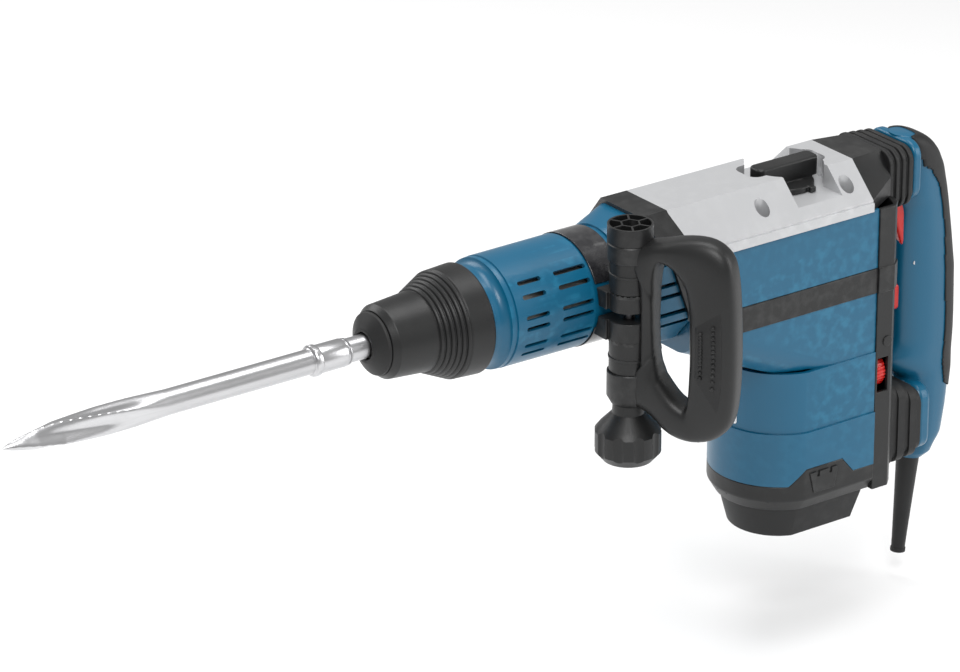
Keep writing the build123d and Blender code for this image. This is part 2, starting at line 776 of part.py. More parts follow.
with BuildPart() as motor_housing:
    add(upper_body.part)
    add(motor_tier(tier_z, waist_z, 0.0, side_rear - 2).part)
    add(motor_tier(seam_z, tier_z, tier_step, side_rear - 2).part)
    add(upper_void.part, mode=Mode.SUBTRACT)
    add(motor_tier(seam_z - 1, waist_z + 1, -wall, side_rear + 1).part, mode=Mode.SUBTRACT)
    with BuildSketch(Plane.XZ):
        with BuildLine():
            Polyline(*notch_points, close=True)
        make_face()
    extrude(amount=half_width + 10, both=True, mode=Mode.SUBTRACT)
    with BuildSketch(Plane.XZ):
        with Locations(((cast_front + 30 + side_rear + 2) / 2, (belt_top + belt_low) / 2)):
            Rectangle(side_rear + 2 - cast_front - 30, belt_top - belt_low)
    extrude(amount=half_width + 2, both=True, mode=Mode.SUBTRACT)
    with BuildSketch(Plane.XZ):
        with Locations(((cast_front + 30 + side_rear + 2) / 2, (belt_top + belt_low) / 2)):
            Rectangle(side_rear + 2 - cast_front - 30, belt_top - belt_low + 2)
    extrude(amount=half_width - 1 - 1.6, both=True)
    with BuildSketch(Plane.XZ):
        with Locations((side_rear + 8, -40)):
            Rectangle(20, 40)
    extrude(amount=half_width + 2, both=True, mode=Mode.SUBTRACT)
    add(upper_void.part, mode=Mode.SUBTRACT)
    with BuildSketch(Plane.YZ.offset(cast_front)):
        Circle(24.0)
    extrude(amount=tube_rear - cast_front, mode=Mode.SUBTRACT)
finish(motor_housing, "motor_housing")

with BuildPart() as side_belts:
    for side in (-1, 1):
        with BuildSketch(Plane.XZ.offset(-side * (half_width - 1 - 1.6))):
            with Locations(((cast_front + 30 + side_rear - 2) / 2, (belt_top + belt_low) / 2)):
                Rectangle(side_rear - 2 - cast_front - 30, belt_top - belt_low - 0.4)
        extrude(amount=-side * 2.4)
finish(side_belts, "side_belts")

cap_wall = 3.5
with BuildPart() as end_cap_outer:
    with BuildSketch(Plane.XY.offset(cap_low_z + 10)):
        add(motor_plan(tier_step, side_rear - 2).line)
        make_face()
    extrude(amount=seam_z + notch_rise - cap_low_z - 10)
    with BuildSketch(Plane.XY.offset(cap_low_z)):
        add(motor_plan(tier_step - 6, side_rear - 2).line)
        make_face()
    with BuildSketch(Plane.XY.offset(cap_low_z + 10)):
        add(motor_plan(tier_step, side_rear - 2).line)
        make_face()
    loft(ruled=True)
with BuildPart() as end_cap:
    add(end_cap_outer.part)
    # the rim is at the seam all round, apart from the raised tab on each side
    with BuildSketch(Plane.XZ):
        with BuildLine():
            Polyline((300, notch_low), (355, notch_low), (368, notch_high), (403, notch_high), (414, notch_low),
                     (460, notch_low), (460, notch_high + 5), (300, notch_high + 5), close=True)
        make_face()
    extrude(amount=half_width + 10, both=True, mode=Mode.SUBTRACT)
    add(motor_tier(cap_low_z + cap_wall, notch_high + 5, -cap_wall, side_rear + 1).part, mode=Mode.SUBTRACT)
    # seat of the lower bearing
    with BuildSketch(Plane.XY.offset(-226)):
        with Locations((motor_x, 0)):
            Circle(19.5)
    extrude(amount=226 + cap_low_z + cap_wall)
    with BuildSketch(Plane.XY.offset(-227)):
        with Locations((motor_x, 0)):
            Circle(14)
    extrude(amount=227 + cap_low_z + cap_wall, mode=Mode.SUBTRACT)
finish(end_cap, "end_cap")

with BuildPart() as base_foot:
    with BuildSketch(Plane.XY.offset(foot_z)):
        add(motor_plan(tier_step - 16, side_rear - 10).line)
        make_face()
    with BuildSketch(Plane.XY.offset(cap_low_z)):
        add(motor_plan(tier_step - 9, side_rear - 5).line)
        make_face()
    loft(ruled=True)
    with BuildSketch(Plane.XY.offset(-229)):
        with Locations((motor_x, 0)):
            Circle(20.0)
    extrude(amount=40, mode=Mode.SUBTRACT)
finish(base_foot, "base_foot")

with BuildPart() as brush_covers:
    for side in (-1, 1):
        face_y = half_width + tier_step
        with BuildSketch(Plane.XZ.offset(-side * face_y)):
            with BuildLine():
                Polyline((371, notch_high - 4), (398, notch_high - 4), (395, seam_z - 8), (375, seam_z - 8),
                         close=True)
            make_face()
            with Locations((379, notch_high - 6), (391, notch_high - 6)):
                Rectangle(2.4, 4, mode=Mode.SUBTRACT)
        extrude(amount=-side * 1.2)
finish(brush_covers, "brush_covers")

with BuildPart() as rating_plate:
    with BuildSketch(Plane.YZ.offset(nose_of_motor - 2)):
        with Locations((0, (waist_z + tier_z) / 2 - 4)):
            RectangleRounded(26, 34, 2)
    extrude(amount=60)
    add(motor_tier(seam_z, waist_z, 0.5, side_rear - 2).part, mode=Mode.INTERSECT)
    add(motor_tier(seam_z - 1, waist_z + 1, 0.0, side_rear - 2).part, mode=Mode.SUBTRACT)
finish(rating_plate, "rating_plate")

# ======================================================================
# Rear: collar, rear cover, electronics, speed wheel, bellows
# ======================================================================
with BuildPart() as rear_collar:
    with BuildSketch(Plane.YZ.offset(cast_rear)):
        with BuildLine():
            Polyline(*cast_section(0.0, ledge_z), close=True)
        make_face()
        mirror(about=Plane.YZ)
    with BuildSketch(Plane.YZ.offset(cover_rear)):
        with BuildLine():
            Polyline((0, ledge_z), (cover_rear_half, ledge_z), (cover_rear_half, 33), (20, roof_z - 1),
                     (0, roof_z - 1), close=True)
        make_face()
        mirror(about=Plane.YZ)
    loft(ruled=True)
    with BuildSketch(Plane.YZ.offset(cast_rear - 1)):
        with Locations((0, ledge_z)):
            Rectangle(50, 50)
    extrude(amount=cover_rear - cast_rear - 3, mode=Mode.SUBTRACT)
finish(rear_collar, "rear_collar")


def cover_plan(inset):
    """Plan outline of the rear cover, shrunk by inset."""
    side = half_width + 0.5 - inset
    rear = cover_rear - inset
    with BuildLine() as outline:
        Polyline((side_rear - 2, -side), (side_rear + 13, -side), (rear - 2, -44 + inset), (rear, -38 + inset),
                 (rear, 38 - inset), (rear - 2, 44 - inset), (side_rear + 13, side), (side_rear - 2, side), close=True)
    return outline


with BuildPart() as rear_cover:
    with BuildSketch(Plane.XY.offset(cap_low_z)):
        add(cover_plan(0.0).line)
        make_face()
    extrude(amount=ledge_z - cap_low_z)
    with BuildSketch(Plane.XY.offset(belt_low)):
        add(cover_plan(-1.0).line)
        make_face()
    extrude(amount=belt_top - belt_low)
    with BuildSketch(Plane.XY.offset(cap_low_z + wall)):
        add(cover_plan(wall).line)
        make_face()
    extrude(amount=ledge_z - cap_low_z - wall, mode=Mode.SUBTRACT)
    # window for the speed wheel
    with BuildSketch(Plane.XZ.offset(30)):
        with Locations((wheel_x, wheel_z)):
            Rectangle(wheel_width + 1.2, 2 * wheel_r)
    extrude(amount=30, mode=Mode.SUBTRACT)
    # sockets for the handle's pivot bracket
    with BuildSketch(Plane.YZ.offset(cover_rear - 8)):
        with Locations((0, pivot_z)):
            Rectangle(18, 16)
    extrude(amount=10, mode=Mode.SUBTRACT)
finish(rear_cover, "rear_cover")

with BuildPart() as cover_plugs:
    for side in (-1, 1):
        with BuildSketch(Plane.XZ.offset(-side * (half_width + 0.5))):
            with Locations((444.5, -91)):
                Circle(4.2)
        extrude(amount=-side * 0.8)
finish(cover_plugs, "cover_plugs")

with BuildPart() as speed_wheel:
    with BuildSketch(Plane.YZ.offset(wheel_x - wheel_width / 2)):
        with Locations((-(half_width - wheel_r - 1.5), wheel_z)):
            Circle(wheel_r)
            with PolarLocations(wheel_r, 30):
                Rectangle(1.4, 1.2, mode=Mode.SUBTRACT)
            Circle(2.5 + running, mode=Mode.SUBTRACT)
    extrude(amount=wheel_width)
finish(speed_wheel, "speed_wheel")

wheel_y = -(half_width - wheel_r - 1.5)
with BuildPart() as electronics_module:
    with BuildSketch(Plane.YZ.offset(side_rear - 2)):
        with Locations((0, wheel_z)):
            Rectangle(2 * (half_width - wall) - 8, 52)
    extrude(amount=2.1)
    with BuildSketch(Plane.YZ.offset(side_rear)):
        with Locations((wheel_y, wheel_z)):
            Circle(2.5)
    extrude(amount=wheel_x + wheel_width / 2 + 1 - side_rear)
    with BuildSketch(Plane.YZ.offset(side_rear + 0.1)):
        with Locations((8, wheel_z)):
            Rectangle(46, 40)
    extrude(amount=14)
finish(electronics_module, "electronics_module")

with BuildPart() as pivot_bracket:
    with BuildSketch(Plane.XZ):
        with Locations(((cover_rear - 8 + pivot_x) / 2, pivot_z)):
            Rectangle(pivot_x - cover_rear + 8, 16)
        with Locations((pivot_x, pivot_z)):
            Circle(8)
            Circle(pivot_pin_r + running, mode=Mode.SUBTRACT)
    extrude(amount=9, both=True)
finish(pivot_bracket, "pivot_bracket")

upper_ribs = 4
bellows_low = 1.0
bellows_front = cover_rear
bellows_rear = handle_front - gap


def bellows(count, front, rear, low, high_front, high_rear, half_front, half_rear, inner_half, inner_low, inner_high):
    """Ribbed sleeve of rounded rectangles along X, with one straight passage."""
    with BuildPart() as sleeve:
        pitch = (rear - front) / (2 * count)
        for k in range(2 * count):
            share = k / (2 * count - 1)
            half = half_front + share * (half_rear - half_front) - (2.2 if k % 2 else 0)
            high = high_front + share * (high_rear - high_front) - (2.2 if k % 2 else 0)
            bottom = low + (2.2 if k % 2 else 0)
            with BuildSketch(Plane.YZ.offset(front + k * pitch)):
                with Locations((0, (high + bottom) / 2)):
                    RectangleRounded(2 * half, high - bottom, 11)
            extrude(amount=pitch)
        with BuildSketch(Plane.YZ.offset(front)):
            with Locations((0, (inner_low + inner_high) / 2)):
                RectangleRounded(2 * inner_half, inner_high - inner_low, 6)
        extrude(amount=rear - front, mode=Mode.SUBTRACT)
    return sleeve


upper_bellows = bellows(upper_ribs, bellows_front, bellows_rear, bellows_low, handle_top, handle_top - 1,
                        cover_rear_half - 1, bellows_half, bellows_half - 8, bellows_low + 7, handle_top - 8)
finish(upper_bellows, "upper_bellows")
lower_rear = 499.0 - gap
lower_bellows = bellows(3, cover_rear, lower_rear, -208.0, -137.0, -152.0, 37.0, 32.0, 19.0, -198.0, -162.0)
finish(lower_bellows, "lower_bellows")

damper_spring = coil(cover_rear + 0.5, handle_front - 0.8, 9.0, 1.3, 5, 26.0)
finish(damper_spring, "damper_spring")

# ======================================================================
# Rear handle: shell, soft grip, trigger, lock-on button, switch, cable boot
# ======================================================================
with BuildPart() as handle_blank:
    with BuildSketch(Plane.XZ) as handle_side:
        with BuildLine():
            Polyline((handle_front, hand_top), (handle_front, handle_top), (501, handle_top), (527, 34), (534, 0),
                     (grip_rear - 1, -66), (grip_rear, -110), (537, -200), (526, handle_low), (503, handle_low),
                     (499, handle_low + 8), (499, -153), (484, -137), (484, hand_low + 1), (grip_front, -116),
                     (grip_front, hand_top - 6), (grip_front - 3, hand_top), close=True)
        make_face()
        corners = handle_side.vertices()
        fillet(corners.filter_by(lambda v: v.X > 520 or (v.Y > 40 and v.X > 495)), 9)
    extrude(amount=grip_half, both=True)
    chamfer(handle_blank.edges().filter_by(lambda e: abs(abs(e.center().Y) - grip_half) < 0.01
                                           and e.center().X > 500), 5)
with BuildPart() as grip_zone:
    with BuildSketch(Plane.XZ) as zone:
        with BuildLine():
            Polyline((493, 60), (493.5, 50), (502, 29), (511, 21.5), (520.5, 7.4), (525, -12), (528.4, -32.5),
                     (531, -75), (531.5, -128), (530, -145), (532.5, -160), (541, -166), (560, -166), (560, 60),
                     close=True)
        make_face()
    extrude(amount=grip_half + 5, both=True)
with BuildPart() as rear_grip_pad:
    add(handle_blank.part)
    add(grip_zone.part, mode=Mode.INTERSECT)
    with BuildSketch(Plane.XZ):
        with BuildLine():
            Polyline((400, 60), (400, -200), (538, -200), (540.5, -110), (539, -66), (528.5, 0), (521.5, 31),
                     (500, 45.5), (480, 45.5), (480, 60), close=True)
        make_face()
    extrude(amount=grip_half - 2.5, both=True, mode=Mode.SUBTRACT)
finish(rear_grip_pad, "rear_grip_pad")

switch_low = -96.0
switch_high = -14.0
with BuildPart() as rear_handle:
    add(handle_blank.part)
    add(rear_grip_pad.part, mode=Mode.SUBTRACT)
    # wide shoulder behind the upper bellows
    with BuildSketch(Plane.YZ.offset(handle_front)):
        with Locations((0, (handle_top + bellows_low) / 2 + 1)):
            RectangleRounded(2 * bellows_half - 2, handle_top - bellows_low - 2, 12)
    extrude(amount=7)
    # wide foot behind the lower bellows
    with BuildSketch(Plane.YZ.offset(499)):
        with Locations((0, -180)):
            RectangleRounded(56, 54, 12)
    extrude(amount=12)
    # cavity for the switch, and the mouth for trigger and button
    with BuildSketch(Plane.XZ):
        with Locations((513, (switch_low + switch_high) / 2)):
            Rectangle(30, switch_high - switch_low)
    extrude(amount=11.5, both=True, mode=Mode.SUBTRACT)
    with BuildSketch(Plane.XZ):
        with Locations((496, (hand_top - 1 + trigger_pivot_z - 6) / 2)):
            Rectangle(26, hand_top - 1 - trigger_pivot_z + 6)
    extrude(amount=trigger_half + 0.4, both=True, mode=Mode.SUBTRACT)
    with BuildSketch(Plane.YZ.offset(grip_front - 5)):
        with Locations((0, button_z)):
            RectangleRounded(12.8, 22.8, 4)
    extrude(amount=12, mode=Mode.SUBTRACT)
    # fork for the pivot pin
    for side in (-1, 1):
        with BuildSketch(Plane.XZ.offset(-side * (9 + gap))):
            with Locations(((pivot_x + 501) / 2, pivot_z)):
                Rectangle(501 - pivot_x, 14)
            with Locations((pivot_x, pivot_z)):
                Circle(7)
        extrude(amount=-side * 5)
    with BuildSketch(Plane.XZ):
        with Locations((pivot_x, pivot_z)):
            Circle(pivot_pin_r)
    extrude(amount=30, both=True, mode=Mode.SUBTRACT)
    # trigger pin holes
    with BuildSketch(Plane.XZ):
        with Locations((trigger_pivot_x, trigger_pivot_z)):
            Circle(1.5)
    extrude(amount=14, both=True, mode=Mode.SUBTRACT)
finish(rear_handle, "rear_handle")

with BuildPart() as pivot_pins:
    with BuildSketch(Plane.XZ):
        with Locations((pivot_x, pivot_z)):
            Circle(pivot_pin_r)
    extrude(amount=14.3, both=True)
    with BuildSketch(Plane.XZ):
        with Locations((trigger_pivot_x, trigger_pivot_z)):
            Circle(1.5)
    extrude(amount=13, both=True)
finish(pivot_pins, "pivot_pins")

with BuildPart() as trigger:
    with BuildSketch(Plane.XZ) as trigger_side:
        with BuildLine():
            Polyline((483.5, -11), (486, hand_top - 4), (501, hand_top - 4), (504, -30),
                     (trigger_pivot_x + 3, trigger_pivot_z - 3), (trigger_pivot_x - 5.5, trigger_pivot_z - 2),
                     close=True)
        make_face()
        fillet(trigger_side.vertices().filter_by(lambda v: v.X < 499), 1.2)
    extrude(amount=trigger_half, both=True)
    with BuildSketch(Plane.XZ):
        with Locations((trigger_pivot_x, trigger_pivot_z)):
            Circle(1.5 + running)
    extrude(amount=20, both=True, mode=Mode.SUBTRACT)
    fillet(trigger.edges().filter_by(lambda e: e.center().X < 498 and abs(abs(e.center().Y) - trigger_half) < 0.01), 1.0)
finish(trigger, "trigger")

with BuildPart() as lock_button:
    with BuildSketch(Plane.YZ.offset(grip_front - 3.2)):
        with Locations((0, button_z)):
            RectangleRounded(12, 22, 3.6)
    extrude(amount=10)
    fillet(lock_button.faces().sort_by(Axis.X)[0].edges(), 1.2)
finish(lock_button, "lock_button")

with BuildPart() as power_switch:
    with BuildSketch(Plane.XZ):
        with BuildLine():
            Polyline((514, switch_high - 1), (527, switch_high - 1), (527, switch_low + 1), (504, switch_low + 1),
                     (504, -60), (514, -60), close=True)
        make_face()
    extrude(amount=10.5, both=True)
finish(power_switch, "power_switch")

with BuildPart() as cable_boot:
    boot_plane = Plane(origin=(boot_x, 0, handle_low), x_dir=(0, 1, 0),
                       z_dir=(-sin(radians(boot_tilt)), 0, -cos(radians(boot_tilt))))
    tip_plane = boot_plane.offset(boot_length)
    with BuildSketch(boot_plane.offset(-4)):
        Circle(boot_top_r)
    with BuildSketch(boot_plane.offset(boot_length * 0.45)):
        Circle(boot_top_r - 2.2)
    with BuildSketch(boot_plane.offset(boot_length - 3)):
        Circle(boot_tip_r)
    loft()
    with BuildSketch(boot_plane.offset(boot_length - 3)):
        Circle(boot_tip_r + 0.6)
    extrude(amount=3)
    with BuildSketch(tip_plane):
        Circle(cable_bore_r)
    extrude(amount=-cable_bore_depth, mode=Mode.SUBTRACT)
    split(bisect_by=Plane.XY.offset(handle_low), keep=Keep.BOTTOM)
finish(cable_boot, "cable_boot")

# ======================================================================
# Side handle: band, jaws, bolt, cap, loop, grip pads, knob
# ======================================================================
band_open = 24.0
with BuildPart() as clamp_band:
    with BuildSketch(Plane.YZ.offset(band_x - band_width / 2)):
        Circle(band_r)
        Circle(band_bore_r, mode=Mode.SUBTRACT)
        with BuildLine():
            Polyline((0, 0), (-80, 80 * sin(radians(band_open)) / cos(radians(band_open))),
                     (-80, -80 * sin(radians(band_open)) / cos(radians(band_open))), close=True)
        make_face(mode=Mode.SUBTRACT)
    extrude(amount=band_width)
finish(clamp_band, "clamp_band")


def jaw(low, high):
    """One clamp jaw: a drum on the bolt with a saddle against the barrel."""
    with BuildPart() as piece:
        with BuildSketch(Plane.XY.offset(low)):
            with Locations((bolt_x, bolt_y)):
                Circle(stack_r)
            with Locations((band_x, bolt_y + 16)):
                Rectangle(band_width, 20)
        extrude(amount=high - low)
        with BuildSketch(Plane.YZ.offset(band_x - 30)):
            Circle(band_r)
        extrude(amount=60, mode=Mode.SUBTRACT)
        with BuildSketch(Plane.XY.offset(low)):
            with Locations((bolt_x, bolt_y)):
                Circle(bolt_r + running)
        extrude(amount=high - low, mode=Mode.SUBTRACT)
    return piece


upper_jaw = jaw(jaw_split_top, jaw_top)
finish(upper_jaw, "upper_jaw")
lower_jaw = jaw(jaw_low, jaw_split_low)
finish(lower_jaw, "lower_jaw")

with BuildPart() as clamp_bolt:
    with BuildSketch(Plane.XY.offset(hub_low - 14)):
        with Locations((bolt_x, bolt_y)):
            Circle(bolt_r)
    extrude(amount=hub_top + 0.4 + 14 - hub_low)
    with BuildSketch(Plane.XY.offset(hub_top + 0.4)):
        with Locations((bolt_x, bolt_y)):
            RegularPolygon(6.5, 6)
    extrude(amount=5.3)
finish(clamp_bolt, "clamp_bolt")

with BuildPart() as bolt_cap:
    with BuildSketch(Plane.XY.offset(hub_top + 0.4)):
        with Locations((bolt_x, bolt_y)):
            Circle(cap_r)
            RegularPolygon(6.6, 6, mode=Mode.SUBTRACT)
    extrude(amount=cap_top - hub_top - 0.4)
    with BuildSketch(Plane.XY.offset(hub_top + 3)):
        with Locations((bolt_x, bolt_y)):
            Circle(cap_r - 1.6)
            RegularPolygon(8.0, 6, mode=Mode.SUBTRACT)
            with PolarLocations(12, 6, start_angle=0):
                Rectangle(9, 1.5, mode=Mode.SUBTRACT)
    extrude(amount=cap_top, mode=Mode.SUBTRACT)
finish(bolt_cap, "bolt_cap")

yaw = radians(handle_yaw)
out_dir = (sin(yaw), -cos(yaw), 0)
face_dir = (-cos(yaw), -sin(yaw), 0)
loop_plane = Plane(origin=(bolt_x, bolt_y, 0), x_dir=out_dir, z_dir=face_dir)
hub_gap = gap
loop_chamfer = 4.5
with BuildPart() as side_handle:
    with BuildSketch(loop_plane.offset(-loop_half)) as loop:
        Polygon((0, hub_low), (13, hub_low), (35, loop_low), (66, loop_low), (loop_outer, loop_low + 24),
                (loop_outer, 44), (66, loop_top), (42, loop_top), (cap_r + 1, hub_top), (0, hub_top), align=None)
        fillet(loop.vertices().filter_by(lambda v: v.X > 60 or v.Y < loop_low + 2), 9)
    extrude(amount=2 * loop_half)
    with BuildSketch(loop_plane.offset(-loop_half - 1)) as opening:
        Polygon((spine_far, -44), (42, -66), (loop_inner, -66), (loop_inner, 30), (38, 44), (spine_far, 40),
                align=None)
        fillet(opening.vertices().filter_by(lambda v: v.X > 30), 3.5)
    extrude(amount=2 * loop_half + 2, mode=Mode.SUBTRACT)
    # bevel the outer side of the grip
    for side in (-1, 1):
        with BuildSketch(Plane(origin=(bolt_x, bolt_y, -120), x_dir=out_dir, z_dir=(0, 0, 1))):
            Polygon((loop_outer - 16, side * (loop_half + 6.5)), (loop_outer, side * (loop_half - loop_chamfer)),
                    (loop_outer + 9, side * (loop_half - loop_chamfer - 6.2)),
                    (loop_outer + 9, side * (loop_half + 6.5)), align=None)
        extrude(amount=240, mode=Mode.SUBTRACT)
    # room for the jaws, then the hubs above and below them
    with BuildSketch(Plane.XY.offset(-44)):
        with Locations((bolt_x, bolt_y)):
            Circle(stack_r + 0.5)
    extrude(amount=84, mode=Mode.SUBTRACT)
    for low, high, radius in ((jaw_top + hub_gap, 40, stack_r), (40, hub_top, stack_r + 1.6),
                              (-46, jaw_low - hub_gap, stack_r), (hub_low, -46, stack_r + 1)):
        with BuildSketch(Plane.XY.offset(low)):
            with Locations((bolt_x, bolt_y)):
                Circle(radius)
        extrude(amount=high - low)
    with BuildSketch(Plane.XY.offset(hub_low - 30)):
        with Locations((bolt_x, bolt_y)):
            Circle(bolt_r + running)
    extrude(amount=hub_top - hub_low + 40, mode=Mode.SUBTRACT)
    # seats for the soft pads
    for side in (-1, 1):
        with BuildSketch(loop_plane.offset(side * (loop_half - 2))):
            with Locations(((loop_inner + loop_outer) / 2, -22)):
                RectangleRounded(13, 104, 3)
        extrude(amount=side * 8, mode=Mode.SUBTRACT)
finish(side_handle, "side_handle")

with BuildPart() as side_grip_pads:
    for side in (-1, 1):
        with BuildSketch(loop_plane.offset(side * (loop_half - 2))):
            with Locations(((loop_inner + loop_outer) / 2, -22)):
                RectangleRounded(12.8, 103.8, 3)
        extrude(amount=side * 2.2)
finish(side_grip_pads, "side_grip_pads")

with BuildPart() as clamp_knob:
    with BuildSketch(Plane.XZ):
        with BuildLine():
            Polyline((0, hub_low - 0.6), (11.5, hub_low - 0.6), (12, hub_low - 8), (knob_r - 3, hub_low - 18),
                     (knob_r, hub_low - 22), (knob_r, knob_low + 7), (knob_r - 6, knob_low), (0, knob_low), close=True)
        make_face()
    revolve(axis=Axis.Z)
    with BuildSketch(Plane.XY.offset(knob_low - 1)):
        with PolarLocations(knob_r + 5.2, knob_flutes):
            Circle(6.8)
    extrude(amount=hub_low - 17 - knob_low, mode=Mode.SUBTRACT)
    with BuildSketch(Plane.XY.offset(hub_low - 15)):
        Circle(bolt_r + running)
    extrude(amount=20, mode=Mode.SUBTRACT)
clamp_knob.part = clamp_knob.part.moved(Location((bolt_x, bolt_y, 0)))
finish(clamp_knob, "clamp_knob")

# ======================================================================
# Selector
# ======================================================================
with BuildPart() as selector_knob:
    with BuildSketch(Plane.XY.offset(pocket_floor + gap)):
        with Locations((selector_x, 0)):
            Circle(selector_r)
        with Locations((selector_x + 8, -selector_r)):
            Rectangle(5, 6)
    extrude(amount=4.5)
    with BuildSketch(Plane.XY.offset(pocket_floor + gap + 4.5)) as bar:
        with Locations((selector_x, 0)):
            RectangleRounded(57, 15, 5)
    extrude(amount=15)
    fillet(selector_knob.faces().sort_by(Axis.Z)[-1].edges(), 2.0)
    with BuildSketch(Plane.XY.offset(pocket_floor + gap)):
        with Locations((selector_x, 0)):
            Circle(5.0)
    extrude(amount=-(pocket_floor + gap - 15))
finish(selector_knob, "selector_knob")
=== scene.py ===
import bpy
import bmesh
import json
from math import cos, pi, radians, sin, sqrt
from mathutils import Matrix, Vector


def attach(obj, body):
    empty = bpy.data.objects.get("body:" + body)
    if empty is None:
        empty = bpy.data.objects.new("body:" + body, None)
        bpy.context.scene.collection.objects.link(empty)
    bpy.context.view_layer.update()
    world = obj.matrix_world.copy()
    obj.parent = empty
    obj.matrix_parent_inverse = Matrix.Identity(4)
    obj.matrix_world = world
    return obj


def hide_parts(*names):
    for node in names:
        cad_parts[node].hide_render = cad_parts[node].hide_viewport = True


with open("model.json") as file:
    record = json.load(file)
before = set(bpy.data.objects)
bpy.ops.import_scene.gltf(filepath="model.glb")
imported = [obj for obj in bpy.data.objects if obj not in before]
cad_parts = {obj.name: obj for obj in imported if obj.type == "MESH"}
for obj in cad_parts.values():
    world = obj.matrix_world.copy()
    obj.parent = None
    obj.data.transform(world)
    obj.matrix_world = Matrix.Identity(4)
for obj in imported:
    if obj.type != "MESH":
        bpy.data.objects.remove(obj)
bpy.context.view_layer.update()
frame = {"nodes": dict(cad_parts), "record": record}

BODY_OF = {}
for body, nodes in frame["record"]["behaviour"]["bodies"].items():
    for node in nodes:
        BODY_OF[node] = body


# ---------------------------------------------------------------- shader groups
def new_group(name, inputs, outputs):
    tree = bpy.data.node_groups.new(name, "ShaderNodeTree")
    for label, kind, value in inputs:
        socket = tree.interface.new_socket(label, in_out="INPUT", socket_type=kind)
        socket.default_value = value
    for label, kind in outputs:
        tree.interface.new_socket(label, in_out="OUTPUT", socket_type=kind)
    return tree, tree.nodes.new("NodeGroupInput"), tree.nodes.new("NodeGroupOutput")


def node(tree, kind, **values):
    made = tree.nodes.new(kind)
    for key, value in values.items():
        setattr(made, key, value)
    return made


def ramp(tree, low, high, low_value=0.0, high_value=1.0):
    made = tree.nodes.new("ShaderNodeMapRange")
    made.inputs["From Min"].default_value = low
    made.inputs["From Max"].default_value = high
    made.inputs["To Min"].default_value = low_value
    made.inputs["To Max"].default_value = high_value
    made.clamp = True
    return made


def grain_group():
    """Moulded or cast surface grain: a bump, and a roughness that varies over the surface."""
    tree, entry, out = new_group(
        "surface_grain",
        [("Scale", "NodeSocketFloat", 900.0), ("Bump", "NodeSocketFloat", 0.15),
         ("Roughness", "NodeSocketFloat", 0.5),
         ("Variation", "NodeSocketFloat", 0.1)],
        [("Normal", "NodeSocketVector"), ("Roughness", "NodeSocketFloat"), ("Cloud", "NodeSocketFloat")])
    link = tree.links.new
    where = node(tree, "ShaderNodeTexCoord")
    fine = node(tree, "ShaderNodeTexNoise")
    fine.inputs["Detail"].default_value = 3.0
    link(where.outputs["Object"], fine.inputs["Vector"])
    link(entry.outputs["Scale"], fine.inputs["Scale"])
    cloud = node(tree, "ShaderNodeTexNoise")
    cloud.inputs["Scale"].default_value = 14.0
    cloud.inputs["Detail"].default_value = 5.0
    link(where.outputs["Object"], cloud.inputs["Vector"])
    bump = node(tree, "ShaderNodeBump")
    bump.inputs["Distance"].default_value = 0.0004
    link(entry.outputs["Bump"], bump.inputs["Strength"])
    link(fine.outputs["Fac"], bump.inputs["Height"])
    centred = node(tree, "ShaderNodeMath", operation="SUBTRACT")
    centred.inputs[1].default_value = 0.5
    link(cloud.outputs["Fac"], centred.inputs[0])
    spread = node(tree, "ShaderNodeMath", operation="MULTIPLY_ADD")
    link(centred.outputs[0], spread.inputs[0])
    link(entry.outputs["Variation"], spread.inputs[1])
    link(entry.outputs["Roughness"], spread.inputs[2])
    link(bump.outputs["Normal"], out.inputs["Normal"])
    link(spread.outputs[0], out.inputs["Roughness"])
    link(cloud.outputs["Fac"], out.inputs["Cloud"])
    return tree


def wear_group():
    """Mask of rubbed edges, broken up by noise."""
    tree, entry, out = new_group(
        "edge_wear", [("Amount", "NodeSocketFloat", 0.5), ("Scale", "NodeSocketFloat", 120.0)],
        [("Mask", "NodeSocketFloat")])
    link = tree.links.new
    where = node(tree, "ShaderNodeTexCoord")
    shape = node(tree, "ShaderNodeNewGeometry")
    edge = ramp(tree, 0.52, 0.62)
    link(shape.outputs["Pointiness"], edge.inputs["Value"])
    noise = node(tree, "ShaderNodeTexNoise")
    noise.inputs["Detail"].default_value = 6.0
    link(where.outputs["Object"], noise.inputs["Vector"])
    link(entry.outputs["Scale"], noise.inputs["Scale"])
    broken = ramp(tree, 0.45, 0.65)
    link(noise.outputs["Fac"], broken.inputs["Value"])
    both = node(tree, "ShaderNodeMath", operation="MULTIPLY")
    link(edge.outputs["Result"], both.inputs[0])
    link(broken.outputs["Result"], both.inputs[1])
    scaled = node(tree, "ShaderNodeMath", operation="MULTIPLY")
    link(both.outputs[0], scaled.inputs[0])
    link(entry.outputs["Amount"], scaled.inputs[1])
    link(scaled.outputs[0], out.inputs["Mask"])
    return tree


